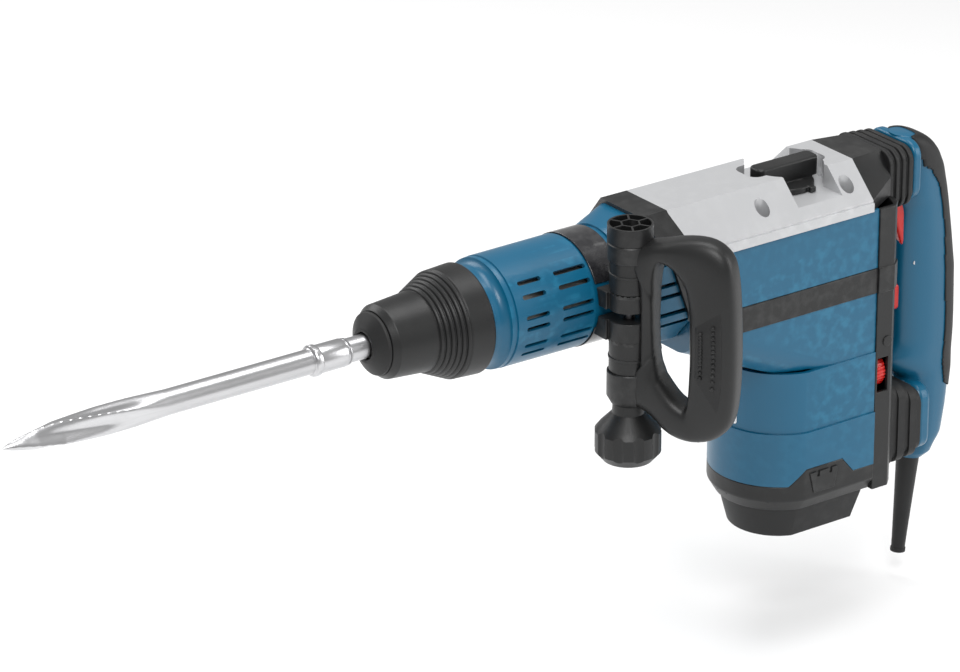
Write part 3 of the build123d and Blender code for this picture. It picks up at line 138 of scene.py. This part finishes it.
def scratch_group():
    """Mask of fine marks drawn out along the object's X axis."""
    tree, entry, out = new_group(
        "drawn_marks", [("Scale", "NodeSocketFloat", 60.0), ("Stretch", "NodeSocketFloat", 14.0)],
        [("Mask", "NodeSocketFloat")])
    link = tree.links.new
    where = node(tree, "ShaderNodeTexCoord")
    split = node(tree, "ShaderNodeSeparateXYZ")
    link(where.outputs["Object"], split.inputs[0])
    drawn = node(tree, "ShaderNodeMath", operation="DIVIDE")
    link(split.outputs["X"], drawn.inputs[0])
    link(entry.outputs["Stretch"], drawn.inputs[1])
    joined = node(tree, "ShaderNodeCombineXYZ")
    link(drawn.outputs[0], joined.inputs["X"])
    link(split.outputs["Y"], joined.inputs["Y"])
    link(split.outputs["Z"], joined.inputs["Z"])
    noise = node(tree, "ShaderNodeTexNoise")
    noise.inputs["Detail"].default_value = 8.0
    noise.inputs["Roughness"].default_value = 0.7
    link(joined.outputs[0], noise.inputs["Vector"])
    link(entry.outputs["Scale"], noise.inputs["Scale"])
    mark = ramp(tree, 0.4, 0.62)
    link(noise.outputs["Fac"], mark.inputs["Value"])
    link(mark.outputs["Result"], out.inputs["Mask"])
    return tree


def dust_group():
    """Mask of fine dust, heaviest on upward faces, broken into patches by noise."""
    tree, entry, out = new_group(
        "settled_dust", [("Amount", "NodeSocketFloat", 0.15)], [("Mask", "NodeSocketFloat")])
    link = tree.links.new
    where = node(tree, "ShaderNodeTexCoord")
    shape = node(tree, "ShaderNodeNewGeometry")
    split = node(tree, "ShaderNodeSeparateXYZ")
    link(shape.outputs["Normal"], split.inputs[0])
    up = ramp(tree, 0.2, 1.0, 0.15, 1.0)
    link(split.outputs["Z"], up.inputs["Value"])
    noise = node(tree, "ShaderNodeTexNoise")
    noise.inputs["Scale"].default_value = 38.0
    noise.inputs["Detail"].default_value = 9.0
    link(where.outputs["Object"], noise.inputs["Vector"])
    patch = ramp(tree, 0.42, 0.75)
    link(noise.outputs["Fac"], patch.inputs["Value"])
    both = node(tree, "ShaderNodeMath", operation="MULTIPLY")
    link(up.outputs["Result"], both.inputs[0])
    link(patch.outputs["Result"], both.inputs[1])
    scaled = node(tree, "ShaderNodeMath", operation="MULTIPLY")
    link(both.outputs[0], scaled.inputs[0])
    link(entry.outputs["Amount"], scaled.inputs[1])
    link(scaled.outputs[0], out.inputs["Mask"])
    return tree


GRAIN, WEAR, MARKS, DUST = grain_group(), wear_group(), scratch_group(), dust_group()


def mix_colour(tree, mask, a, b):
    made = node(tree, "ShaderNodeMix", data_type="RGBA")
    tree.links.new(mask, made.inputs["Factor"])
    for value, socket in ((a, made.inputs["A"]), (b, made.inputs["B"])):
        if isinstance(value, tuple):
            socket.default_value = (*value, 1.0)
        else:
            tree.links.new(value, socket)
    return made.outputs["Result"]


def material(name, colour, roughness, metallic=0.0, grain=900.0, bump=0.15, variation=0.12, wear=0.3,
             worn=(0.3, 0.3, 0.3), dust=0.02, marks=0.0, shade=0.95, coat=0.0, specular=0.4):
    made = bpy.data.materials.new(name)
    made.use_nodes = True
    tree = made.node_tree
    link = tree.links.new
    shader = tree.nodes["Principled BSDF"]
    surface = node(tree, "ShaderNodeGroup", node_tree=GRAIN)
    surface.inputs["Scale"].default_value = grain
    surface.inputs["Bump"].default_value = bump
    surface.inputs["Roughness"].default_value = roughness
    surface.inputs["Variation"].default_value = variation
    link(surface.outputs["Normal"], shader.inputs["Normal"])
    link(surface.outputs["Roughness"], shader.inputs["Roughness"])
    tone = mix_colour(tree, surface.outputs["Cloud"], tuple(c * shade for c in colour), colour)
    if marks:
        drawn = node(tree, "ShaderNodeGroup", node_tree=MARKS)
        soften = node(tree, "ShaderNodeMath", operation="MULTIPLY")
        soften.inputs[1].default_value = marks
        link(drawn.outputs["Mask"], soften.inputs[0])
        tone = mix_colour(tree, soften.outputs[0], tone, tuple(c * 0.55 for c in colour))
    if wear:
        edge = node(tree, "ShaderNodeGroup", node_tree=WEAR)
        edge.inputs["Amount"].default_value = wear
        tone = mix_colour(tree, edge.outputs["Mask"], tone, worn)
    if dust:
        film = node(tree, "ShaderNodeGroup", node_tree=DUST)
        film.inputs["Amount"].default_value = dust
        tone = mix_colour(tree, film.outputs["Mask"], tone, (0.45, 0.43, 0.4))
    link(tone, shader.inputs["Base Color"])
    shader.inputs["Metallic"].default_value = metallic
    shader.inputs["Coat Weight"].default_value = coat
    shader.inputs["Coat Roughness"].default_value = 0.12
    shader.inputs["Specular IOR Level"].default_value = specular
    return made


MAT = {
    "bit_steel": material("chisel_steel", (0.62, 0.62, 0.63), 0.3, 1.0, grain=500, bump=0.12, marks=0.35,
                          wear=0.0,
                          dust=0.03),
    "tool_steel": material("ground_steel", (0.5, 0.5, 0.52), 0.3, 1.0, grain=700, bump=0.08, marks=0.25,
                           wear=0.0,
                           dust=0.0),
    "spring_steel": material("spring_steel", (0.35, 0.35, 0.37), 0.35, 1.0, wear=0.0, dust=0.0),
    "screw_steel": material("black_screw_steel", (0.16, 0.16, 0.17), 0.35, 1.0, wear=0.5,
                            worn=(0.5, 0.5, 0.5)),
    "band_steel": material("gloss_black_band", (0.012, 0.012, 0.014), 0.22, 0.0, bump=0.03, coat=0.6,
                           wear=0.3),
    "cast_metal": material("raw_casting", (0.36, 0.34, 0.31), 0.5, 0.8, grain=350, bump=0.4, wear=0.2,
                           dust=0.1),
    "silver_casting": material("silver_casting", (0.5, 0.505, 0.515), 0.34, 0.35, grain=420, bump=0.22,
                               variation=0.16,
                               wear=0.3, worn=(0.75, 0.75, 0.76), dust=0.02, coat=0.12),
    "laminations": material("motor_sheet", (0.12, 0.12, 0.13), 0.5, 0.8, wear=0.0, dust=0.0),
    "copper": material("copper_wire", (0.6, 0.25, 0.1), 0.35, 1.0, wear=0.0, dust=0.0),
    "black_plastic": material("black_plastic", (0.0085, 0.0088, 0.009), 0.4, grain=1100, bump=0.28, wear=0.35,
                              worn=(0.09, 0.09, 0.09), dust=0.02),
    "blue_plastic": material("blue_plastic", (0.0008, 0.094, 0.182), 0.34, grain=1000, bump=0.16,
                             variation=0.04,
                             wear=0.25, worn=(0.03, 0.25, 0.4), dust=0.004, coat=0.12),
    "red_plastic": material("red_plastic", (0.55, 0.009, 0.006), 0.32, grain=900, bump=0.1, wear=0.25,
                            worn=(0.7, 0.1, 0.08), dust=0.03, coat=0.15),
    "black_rubber": material("soft_black_rubber", (0.010, 0.0102, 0.0105), 0.52, grain=700, bump=0.3,
                             wear=0.3,
                             worn=(0.07, 0.07, 0.07), dust=0.03, specular=0.35),
    "label_film": material("label_film", (0.8, 0.81, 0.82), 0.35, bump=0.05, wear=0.1, dust=0.03),
}
SLOT_OF = {}
for entry in frame["record"]["subparts"]:
    SLOT_OF[entry["node"]] = entry["material_slot"]


# ---------------------------------------------------------------- mesh helpers
def link_mesh(name, mesh, slot_name, body, nodes=(), bevel=0.0, angle=35, segments=2):
    piece = bpy.data.objects.new(name, mesh)
    bpy.context.scene.collection.objects.link(piece)
    mesh.materials.clear()
    mesh.materials.append(MAT[slot_name])
    for face in mesh.polygons:
        face.use_smooth = True
    mesh.set_sharp_from_angle(angle=radians(angle))
    if bevel:
        soft = piece.modifiers.new("soft_edges", "BEVEL")
        soft.width = bevel
        soft.segments = segments
        soft.limit_method = "ANGLE"
        soft.angle_limit = radians(angle)
        soft.harden_normals = False
    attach(piece, body)
    if nodes:
        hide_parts(*nodes)
    return piece


def skin(name, bevel=0.0007, angle=28, segments=2):
    """A cleaned copy of a CAD node with softened edges stands in for it."""
    source = frame["nodes"][name]
    mesh = source.data.copy()
    mesh.name = name + "_skin"
    made = bmesh.new()
    made.from_mesh(mesh)
    bmesh.ops.remove_doubles(made, verts=made.verts, dist=0.00002)
    bmesh.ops.dissolve_limit(made, angle_limit=radians(0.6), verts=made.verts, edges=made.edges)
    made.to_mesh(mesh)
    made.free()
    for attribute in ("custom_normal",):
        if attribute in mesh.attributes:
            mesh.attributes.remove(mesh.attributes[attribute])
    return link_mesh(name + "_skin", mesh, SLOT_OF[name], BODY_OF[name], (name,), bevel, angle, segments)


def mesh_of(name, points, faces):
    mesh = bpy.data.meshes.new(name)
    mesh.from_pydata([tuple(c / 1000 for c in p) for p in points], [], faces)
    mesh.validate()
    made = bmesh.new()
    made.from_mesh(mesh)
    bmesh.ops.recalc_face_normals(made, faces=made.faces)
    made.to_mesh(mesh)
    made.free()
    return mesh


def rings_mesh(name, rings, closed=False, capped=True):
    """Rings of equal length joined one to the next. closed joins the last to the first."""
    count = len(rings[0])
    points = [p for ring in rings for p in ring]
    faces = []
    last = len(rings) if closed else len(rings) - 1
    for i in range(last):
        a, b = i * count, ((i + 1) % len(rings)) * count
        for k in range(count):
            n = (k + 1) % count
            faces.append((a + k, a + n, b + n, b + k))
    if capped and not closed:
        faces.append(tuple(range(count))[::-1])
        faces.append(tuple(range((len(rings) - 1) * count, len(rings) * count)))
    return mesh_of(name, points, faces)


def superellipse(count, power):
    """Unit outline between an ellipse at power 2 and a box at high power."""
    out = []
    for k in range(count):
        t = 2 * pi * k / count
        c, s = cos(t), sin(t)
        out.append((abs(c) ** (2 / power) * (1 if c >= 0 else -1),
                    abs(s) ** (2 / power) * (1 if s >= 0 else -1)))
    return out


def table_value(table, x):
    """Straight-line value between the table's (station, value) pairs."""
    if x <= table[0][0]:
        return table[0][1]
    for (x0, v0), (x1, v1) in zip(table, table[1:]):
        if x <= x1:
            t = (x - x0) / (x1 - x0) if x1 > x0 else 1.0
            return v0 + (v1 - v0) * t
    return table[-1][1]


def smooth_loop(points, rounds):
    """Corner-cutting of a closed polygon."""
    for _ in range(rounds):
        cut = []
        for a, b in zip(points, points[1:] + points[:1]):
            cut.append((a[0] * 0.75 + b[0] * 0.25, a[1] * 0.75 + b[1] * 0.25))
            cut.append((a[0] * 0.25 + b[0] * 0.75, a[1] * 0.25 + b[1] * 0.75))
        points = cut
    return points


def reach_at(polygon, centre, angle):
    """Distance from the centre to the polygon in one direction."""
    dx, dy = cos(angle), sin(angle)
    best = 0.0
    for a, b in zip(polygon, polygon[1:] + polygon[:1]):
        ax, ay, bx, by = a[0] - centre[0], a[1] - centre[1], b[0] - centre[0], b[1] - centre[1]
        ex, ey = bx - ax, by - ay
        cross = dx * ey - dy * ex
        if abs(cross) < 1e-9:
            continue
        t = (ax * ey - ay * ex) / cross
        s = (ax * dy - ay * dx) / cross
        if t > 0 and -1e-6 <= s <= 1 + 1e-6:
            best = max(best, t)
    return best


# ---------------------------------------------------------------- skins of the CAD nodes
SOFT = {"motor_housing": 1.2, "gear_housing": 1.4, "front_cover": 1.2, "rear_cover": 1.6, "rear_collar": 1.4,
        "end_cap": 1.2, "base_foot": 2.0, "neck_housing": 0.6, "lock_sleeve": 0.5, "dust_cap": 0.5,
        "barrel_guard": 0.4, "upper_bellows": 1.0, "lower_bellows": 1.0, "selector_knob": 0.8,
        "clamp_knob": 1.4,
        "bolt_cap": 0.6, "upper_jaw": 0.9, "lower_jaw": 0.9, "trigger": 1.0, "lock_button": 0.6,
        "brush_covers": 0.4, "side_belts": 0.5, "cable_boot": 0.4, "clamp_band": 0.3, "speed_wheel": 0.2,
        "cover_plugs": 0.5, "rating_plate": 0.1, "housing_screws": 0.3, "rear_handle": 1.6,
        "rear_grip_pad": 1.4,
        "side_handle": 2.0, "side_grip_pads": 0.8, "chisel": 0.3}
for name in sorted(frame["nodes"]):
    if name in SOFT:
        continue
    source = frame["nodes"][name]
    source.data.materials.clear()
    source.data.materials.append(MAT[SLOT_OF[name]])
REBUILT = ("chisel", "side_handle", "side_grip_pads", "rear_handle", "rear_grip_pad", "trigger")
for name, width in SOFT.items():
    if name not in REBUILT:
        skin(name, width / 1000)

# ---------------------------------------------------------------- bit
TIP, FLUTED = -299.0, 129.0
COUNT = 96
rings = []
stations = []
steps = 90
for i in range(steps + 1):
    stations.append(TIP + FLUTED * i / steps)
for x in stations:
    t = (x - TIP) / FLUTED
    size = table_value([(0, 0.6), (0.05, 3.2), (0.2, 8.6), (0.34, 11.3), (0.6, 11.4), (0.8, 10.6),
                        (1.0, 9.4)], t)
    depth = table_value([(0, 0.0), (0.12, 0.04), (0.3, 0.30), (0.6, 0.36), (0.82, 0.2), (0.95, 0.04),
                         (1, 0.0)], t)
    square = table_value([(0, 0.10), (0.15, 0.24), (0.35, 0.1), (0.6, 0.0), (1, 0.0)], t)
    turn = radians(70) * t
    ring = []
    for k in range(COUNT):
        phi = 2 * pi * k / COUNT
        wave = abs(sin(2 * (phi - turn)))
        radius = size * (1 - depth * wave ** 1.2 - square * wave ** 0.8 * 0.6)
        ring.append((x, radius * cos(phi), radius * sin(phi)))
    rings.append(ring)
SHAFT = [(-166, 9.25), (-120, 9.2), (-47.5, 9.2), (-47, 9.6), (-46.4, 11.2), (-45.6, 11.6), (-43, 11.6),
         (-41.8, 11.3),
         (-40.8, 10.4), (-39.8, 10.5), (-20.2, 10.5), (-19.4, 10.2), (-19.2, 9.4), (-17.4, 9.4),
         (-17.2, 10.2),
         (-16.4, 10.0), (-15.4, 9.0), (86, 9.0), (88, 7.0)]
for x, radius in SHAFT:
    rings.append([(x, radius * cos(2 * pi * k / COUNT), radius * sin(2 * pi * k / COUNT)) for k in range(COUNT)])
link_mesh("pointed_chisel", rings_mesh("pointed_chisel", rings), "bit_steel", BODY_OF["chisel"], ("chisel",),
          angle=24)

# ---------------------------------------------------------------- side handle
BOLT = (192.5, -58.3)
YAW = radians(28.6)
OUT = (sin(YAW), -cos(YAW))
FACE = (cos(YAW), sin(YAW))


def on_loop(reach, offset, z):
    """Point at a distance out from the bolt and an offset from the loop's middle plane."""
    return (BOLT[0] + reach * OUT[0] + offset * FACE[0], BOLT[1] + reach * OUT[1] + offset * FACE[1], z)


LOOP_OUT = smooth_loop([(11, -44), (11, 42), (2, 43), (2, 55.5), (20, 57), (44, 64.5), (64, 66), (77, 59),
                        (83, 47), (86, 12),
                        (87, -33), (85, -66), (80, -80), (66, -91), (48, -93), (33, -89), (20, -76), (2, -71),
                        (2, -49), (11, -48)], 2)
LOOP_IN = smooth_loop([(22, 43), (33, 43), (42, 35), (49, 21), (50, -25), (50, -66), (44, -64), (36, -58),
                       (22, -38)], 2)
LOOP_MID = (38.0, -12.0)
LOOP_N, SECTION_N = 220, 48


def loop_section(angle, power):
    inner = reach_at(LOOP_IN, LOOP_MID, angle)
    outer = reach_at(LOOP_OUT, LOOP_MID, angle)
    towards = cos(angle)
    thick = table_value([(-1, 10.0), (-0.75, 10.5), (-0.4, 13.0), (0.3, 13.2), (0.8, 14.2), (1, 14.4)],
                        towards)
    return (inner + outer) / 2, (outer - inner) / 2, thick


def loop_point(angle, across, side, lift_out=0.0, power=3.0):
    middle, half, thick = loop_section(angle, power)
    rho = middle + across * half
    z_half = thick * (1 - abs(across) ** power) ** (1 / power)
    return on_loop(LOOP_MID[0] + rho * cos(angle), side * (z_half + lift_out), LOOP_MID[1] + rho * sin(angle))


unit = superellipse(SECTION_N, 3.0)
rings = []
for i in range(LOOP_N):
    angle = 2 * pi * i / LOOP_N
    middle, half, thick = loop_section(angle, 3.0)
    ring = []
    for a, b in unit:
        rho = middle + a * half
        ring.append(on_loop(LOOP_MID[0] + rho * cos(angle), b * thick, LOOP_MID[1] + rho * sin(angle)))
    rings.append(ring)
link_mesh("side_grip_loop", rings_mesh("side_grip_loop", rings, closed=True), "black_plastic", "side_handle",
          ("side_handle",), angle=50)


def lathe(name, outline, centre, slot_name, body, nodes=(), axis="Z", count=96, bevel=0.0, angle=30):
    """A turned piece from (station, radius) pairs."""
    rings = []
    for station, radius in outline:
        ring = []
        for k in range(count):
            c, s = radius * cos(2 * pi * k / count), radius * sin(2 * pi * k / count)
            ring.append((centre[0] + c, centre[1] + s, station) if axis == "Z" else
                        (station, centre[1] + c, centre[2] + s))
        rings.append(ring)
    return link_mesh(name, rings_mesh(name, rings), slot_name, body, nodes, bevel, angle)


lathe("upper_hub_collar", [(40.2, 13), (40.2, 16.2), (41, 16.8), (53, 16.8), (54.1, 16), (54.1, 5)],
      (*BOLT, 0),
      "black_plastic", "side_handle")
lathe("upper_hub_drum", [(15.8, 6), (15.8, 14.2), (16.4, 14.8), (28.6, 14.8), (29, 15.4), (30.4, 15.4),
                         (30.8, 14.8),
                         (40.1, 14.8), (40.1, 6)], (*BOLT, 0), "black_plastic", "side_handle")
lathe("lower_hub_drum", [(-22.4, 6), (-22.4, 14.2), (-23, 14.8), (-34.2, 14.8), (-34.6, 15.4), (-36, 15.4),
                         (-36.4, 14.8), (-46, 14.8), (-46, 6)], (*BOLT, 0), "black_plastic", "side_handle")
lathe("lower_hub_collar", [(-46.2, 12), (-46.2, 15.6), (-47, 16.2), (-66, 16.2), (-71.8, 13), (-71.8, 5)],
      (*BOLT, 0),
      "black_plastic", "side_handle")


def teeth_ring(name, low, high, radius, count, body):
    """Zigzag serration where two drums lock together."""
    points, faces = [], []
    for k in range(count * 2):
        t = 2 * pi * k / (count * 2)
        peak = high if k % 2 else (low + high) / 2
        for r, z in ((radius - 3, low), (radius, low), (radius, peak), (radius - 3, peak)):
            points.append((BOLT[0] + r * cos(t), BOLT[1] + r * sin(t), z))
    for k in range(count * 2):
        a, b = 4 * k, 4 * ((k + 1) % (count * 2))
        for i in range(4):
            j = (i + 1) % 4
            faces.append((a + i, a + j, b + j, b + i))
    return link_mesh(name, mesh_of(name, points, faces), "black_plastic", body, angle=20)


teeth_ring("upper_serration", 13.2, 16.4, 15.2, 22, "side_clamp")
teeth_ring("lower_serration", -23.2, -20.4, 15.2, 22, "side_clamp")

LOOP_PAD = (-54, 36)
for side in (-1, 1):
    label = "near" if side < 0 else "far"
    rings = []
    stations = 60
    for i in range(stations + 1):
        angle = radians(LOOP_PAD[0] + (LOOP_PAD[1] - LOOP_PAD[0]) * i / stations)
        ease = min(1.0, 6.0 * min(i, stations - i) / stations)
        ring = []
        for across in (-0.62, -0.57, -0.4, -0.2, 0.0, 0.2, 0.4, 0.52, 0.57):
            lifted = 0.9 * ease if abs(across) < 0.56 or (across < 0 and across > -0.6) else -0.5
            ring.append(loop_point(angle, across, side, lifted))
        rings.append(ring)
    points = [p for ring in rings for p in ring]
    width = len(rings[0])
    faces = [(i * width + k, i * width + k + 1, (i + 1) * width + k + 1, (i + 1) * width + k)
             for i in range(stations) for k in range(width - 1)]
    extra = ("side_grip_pads",) if side < 0 else ()
    link_mesh("side_grip_panel_" + label, mesh_of("side_grip_panel_" + label, points, faces), "black_rubber",
              "side_handle", extra, angle=40)
    nubs = bmesh.new()
    for column in (-1, 1):
        for k in range(13):
            angle = radians(LOOP_PAD[0] + 8 + (k + (0.5 if column > 0 else 0)) * 5.7)
            spot = loop_point(angle, -0.05 + 0.27 * column, side, 0.85)
            place = Matrix.Translation(Vector(spot) / 1000)
            bmesh.ops.create_uvsphere(nubs, u_segments=14, v_segments=8, radius=0.0017, matrix=place)
    mesh = bpy.data.meshes.new("side_grip_nubs_" + label)
    nubs.to_mesh(mesh)
    nubs.free()
    link_mesh("side_grip_nubs_" + label, mesh, "black_rubber", "side_handle", angle=60)

# ---------------------------------------------------------------- rear handle
REAR = [(-220, 517), (-219, 526), (-212.4, 528.7), (-203, 537), (-180.6, 541.2), (-146.6, 544.9),
        (-118, 545.9),
        (-103.7, 546), (-65.7, 545), (-36, 540.7), (0.7, 534.7), (20, 530.3), (32.5, 524.6), (41, 518),
        (46, 512),
        (49, 507), (51, 500)]
FRONT = [(-220, 504), (-216, 500), (-150, 499.5), (-146, 492), (-139, 484.5), (-133, 484), (-128, 487.5),
         (-122, 490.6),
         (-116, 491.5), (-12, 491.5), (-6, 490), (-1.5, 486.4), (51, 486.4)]
PAD_EDGE = [(-166, 541), (-163.5, 537), (-160, 532.5), (-145, 530), (-128, 531.5), (-99, 531.5), (-75, 530.4),
            (-32.5, 528.4), (-12, 525), (7.4, 520.5), (21.5, 511), (25.4, 503.6), (30, 502), (50, 494)]
HALF = [(-220, 15.0), (-214, 17.0), (-150, 17.0), (-110, 16.6), (-60, 16.4), (0, 17.0), (40, 17.0),
        (47, 15.6),
        (51, 12.0)]


def eased(table, z):
    """Average over a short span, so that the corners of a table are rounded."""
    return sum(table_value(table, z + d) for d in (-2.4, -1.2, 0, 1.2, 2.4)) / 5


levels = [-220 + 271 * i / 330 for i in range(331)]
unit = superellipse(160, 3.4)
shell_points, rows = [], []
for z in levels:
    front, rear, half = eased(FRONT, z), eased(REAR, z), eased(HALF, z)
    if z > 48:
        pinch = sqrt(max(0.0, 1 - ((z - 48) / 3.2) ** 2))
        rear -= 5 * (1 - pinch)
        half -= 4 * (1 - pinch)
    if z < -216:
        half -= 2.0 * (-216 - z) / 4
    row = []
    for a, b in unit:
        narrow = 1.0 - 0.1 * max(0.0, a) - 0.36 * max(0.0, -a) ** 1.5
        row.append(((front + rear) / 2 + a * (rear - front) / 2, b * half * narrow, z))
    rows.append(row)
shell_faces, pad_faces = [], []
count = len(unit)
for i in range(len(rows) - 1):
    for k in range(count):
        n = (k + 1) % count
        quad = (i * count + k, i * count + n, (i + 1) * count + n, (i + 1) * count + k)
        x = (rows[i][k][0] + rows[i + 1][k][0]) / 2
        z = (levels[i] + levels[i + 1]) / 2
        edge = table_value(PAD_EDGE, z)
        (pad_faces if z > -166 and z < 50.2 and x > edge else shell_faces).append(quad)
shell_points = [p for row in rows for p in row]


def picked_mesh(name, points, faces, caps=()):
    used = sorted({v for face in faces for v in face} | {v for face in caps for v in face})
    index = {v: i for i, v in enumerate(used)}
    return mesh_of(name, [points[v] for v in used], [tuple(index[v] for v in face) for face in list(faces) + list(caps)])


caps = [tuple(range(count))[::-1], tuple(range((len(rows) - 1) * count, len(rows) * count))]
shell = link_mesh("rear_handle_shell", picked_mesh("rear_handle_shell", shell_points, shell_faces, caps),
                  "blue_plastic", "rear_handle", ("rear_handle",), angle=40)
pad = link_mesh("rear_soft_grip", picked_mesh("rear_soft_grip", shell_points, pad_faces), "black_rubber",
                "rear_handle", ("rear_grip_pad",), angle=40)
thick = pad.modifiers.new("thickness", "SOLIDIFY")
thick.thickness = 0.0016
thick.offset = 0.55


def prism(name, outline, low, high, slot_name, body, nodes=(), bevel=0.0008, axis="Y", place=None, angle=30,
          segments=3):
    """A flat outline given thickness along one axis. Y: outline in X, Z. X: in Y, Z. Z: in X, Y."""
    rings = []
    for level in (low, high):
        ring = []
        for a, b in outline:
            ring.append({"Y": (a, level, b), "X": (level, a, b), "Z": (a, b, level)}[axis])
        rings.append(ring)
    return link_mesh(name, rings_mesh(name, rings), slot_name, body, nodes, bevel, angle, segments)


def rounded(x0, y0, x1, y1, radius, steps=6):
    out = []
    for cx, cy, start in ((x1 - radius, y1 - radius, 0), (x0 + radius, y1 - radius, 90),
                          (x0 + radius, y0 + radius, 180), (x1 - radius, y0 + radius, 270)):
        for k in range(steps + 1):
            t = radians(start + 90 * k / steps)
            out.append((cx + radius * cos(t), cy + radius * sin(t)))
    return out


prism("upper_shoulder", rounded(-27, 3.5, 27, 50.5, 12), 486.2, 493.5, "blue_plastic", "rear_handle",
      axis="X", bevel=0.002)
prism("lower_shoulder", rounded(-28, -207, 28, -153, 12), 499, 510, "blue_plastic", "rear_handle", axis="X",
      bevel=0.003)
prism("handle_foot_tab", [(516, -221), (527, -218), (528.5, -211.5), (517, -211.5)], -9, 9, "black_plastic",
      "rear_handle", bevel=0.001)

prism("trigger_blade", [(483.5, -11.6), (486, -1.5), (503, -1.5), (507, -30), (508, -56), (503, -57.5),
                        (496.5, -50)],
      -8.0, 8.0, "red_plastic", "trigger", ("trigger",), bevel=0.0022)

# ---------------------------------------------------------------- stage, light and camera
floor_mesh = bpy.data.meshes.new("floor")
floor_mesh.from_pydata([(-16, -16, -0.325), (16, -16, -0.325), (16, 16, -0.325), (-16, 16, -0.325)], [],
                       [(0, 1, 2, 3)])
floor = bpy.data.objects.new("floor", floor_mesh)
bpy.context.scene.collection.objects.link(floor)
pale = bpy.data.materials.new("pale_floor")
pale.use_nodes = True
pale.node_tree.nodes["Principled BSDF"].inputs["Base Color"].default_value = (0.9, 0.9, 0.9, 1)
pale.node_tree.nodes["Principled BSDF"].inputs["Roughness"].default_value = 0.9
floor_mesh.materials.append(pale)

world = bpy.data.worlds.new("studio")
world.use_nodes = True
world.node_tree.nodes["Background"].inputs["Color"].default_value = (1.0, 1.0, 1.0, 1)
world.node_tree.nodes["Background"].inputs["Strength"].default_value = 0.42
bpy.context.scene.world = world

TARGET = Vector((0.2, 0.0, -0.05))


def area_light(name, where, power, width, height, colour=(1, 1, 1)):
    data = bpy.data.lights.new(name, "AREA")
    data.shape = "RECTANGLE"
    data.size = width
    data.size_y = height
    data.energy = power
    data.color = colour
    light = bpy.data.objects.new(name, data)
    bpy.context.scene.collection.objects.link(light)
    light.location = where
    light.rotation_euler = (TARGET - Vector(where)).to_track_quat("-Z", "Y").to_euler()
    return light


area_light("key", (-0.9, -1.5, 1.9), 42, 1.3, 1.0)
area_light("top", (0.5, 0.2, 2.2), 34, 1.8, 1.2)
area_light("side", (1.9, -1.3, 0.6), 16, 0.9, 1.4)
area_light("back", (-0.6, 1.8, 1.1), 18, 1.6, 0.9)

turn, lift = radians(36), radians(23.3)
right = Vector((cos(turn), -sin(turn), 0))
up = Vector((sin(turn) * sin(lift), cos(turn) * sin(lift), cos(lift)))
back = right.cross(up)
camera_data = bpy.data.cameras.new("camera")
camera_data.lens = 200
camera_data.sensor_width = 36
camera_data.clip_end = 60
camera = bpy.data.objects.new("camera", camera_data)
bpy.context.scene.collection.objects.link(camera)
camera.matrix_world = Matrix((
    (right.x, up.x, back.x, 0), (right.y, up.y, back.y, 0), (right.z, up.z, back.z, 0), (0, 0, 0, 1)))
camera.location = back * 3.782 + right * 0.0823 + up * 0.0071
bpy.context.scene.camera = camera
bpy.context.scene.view_settings.view_transform = "Standard"
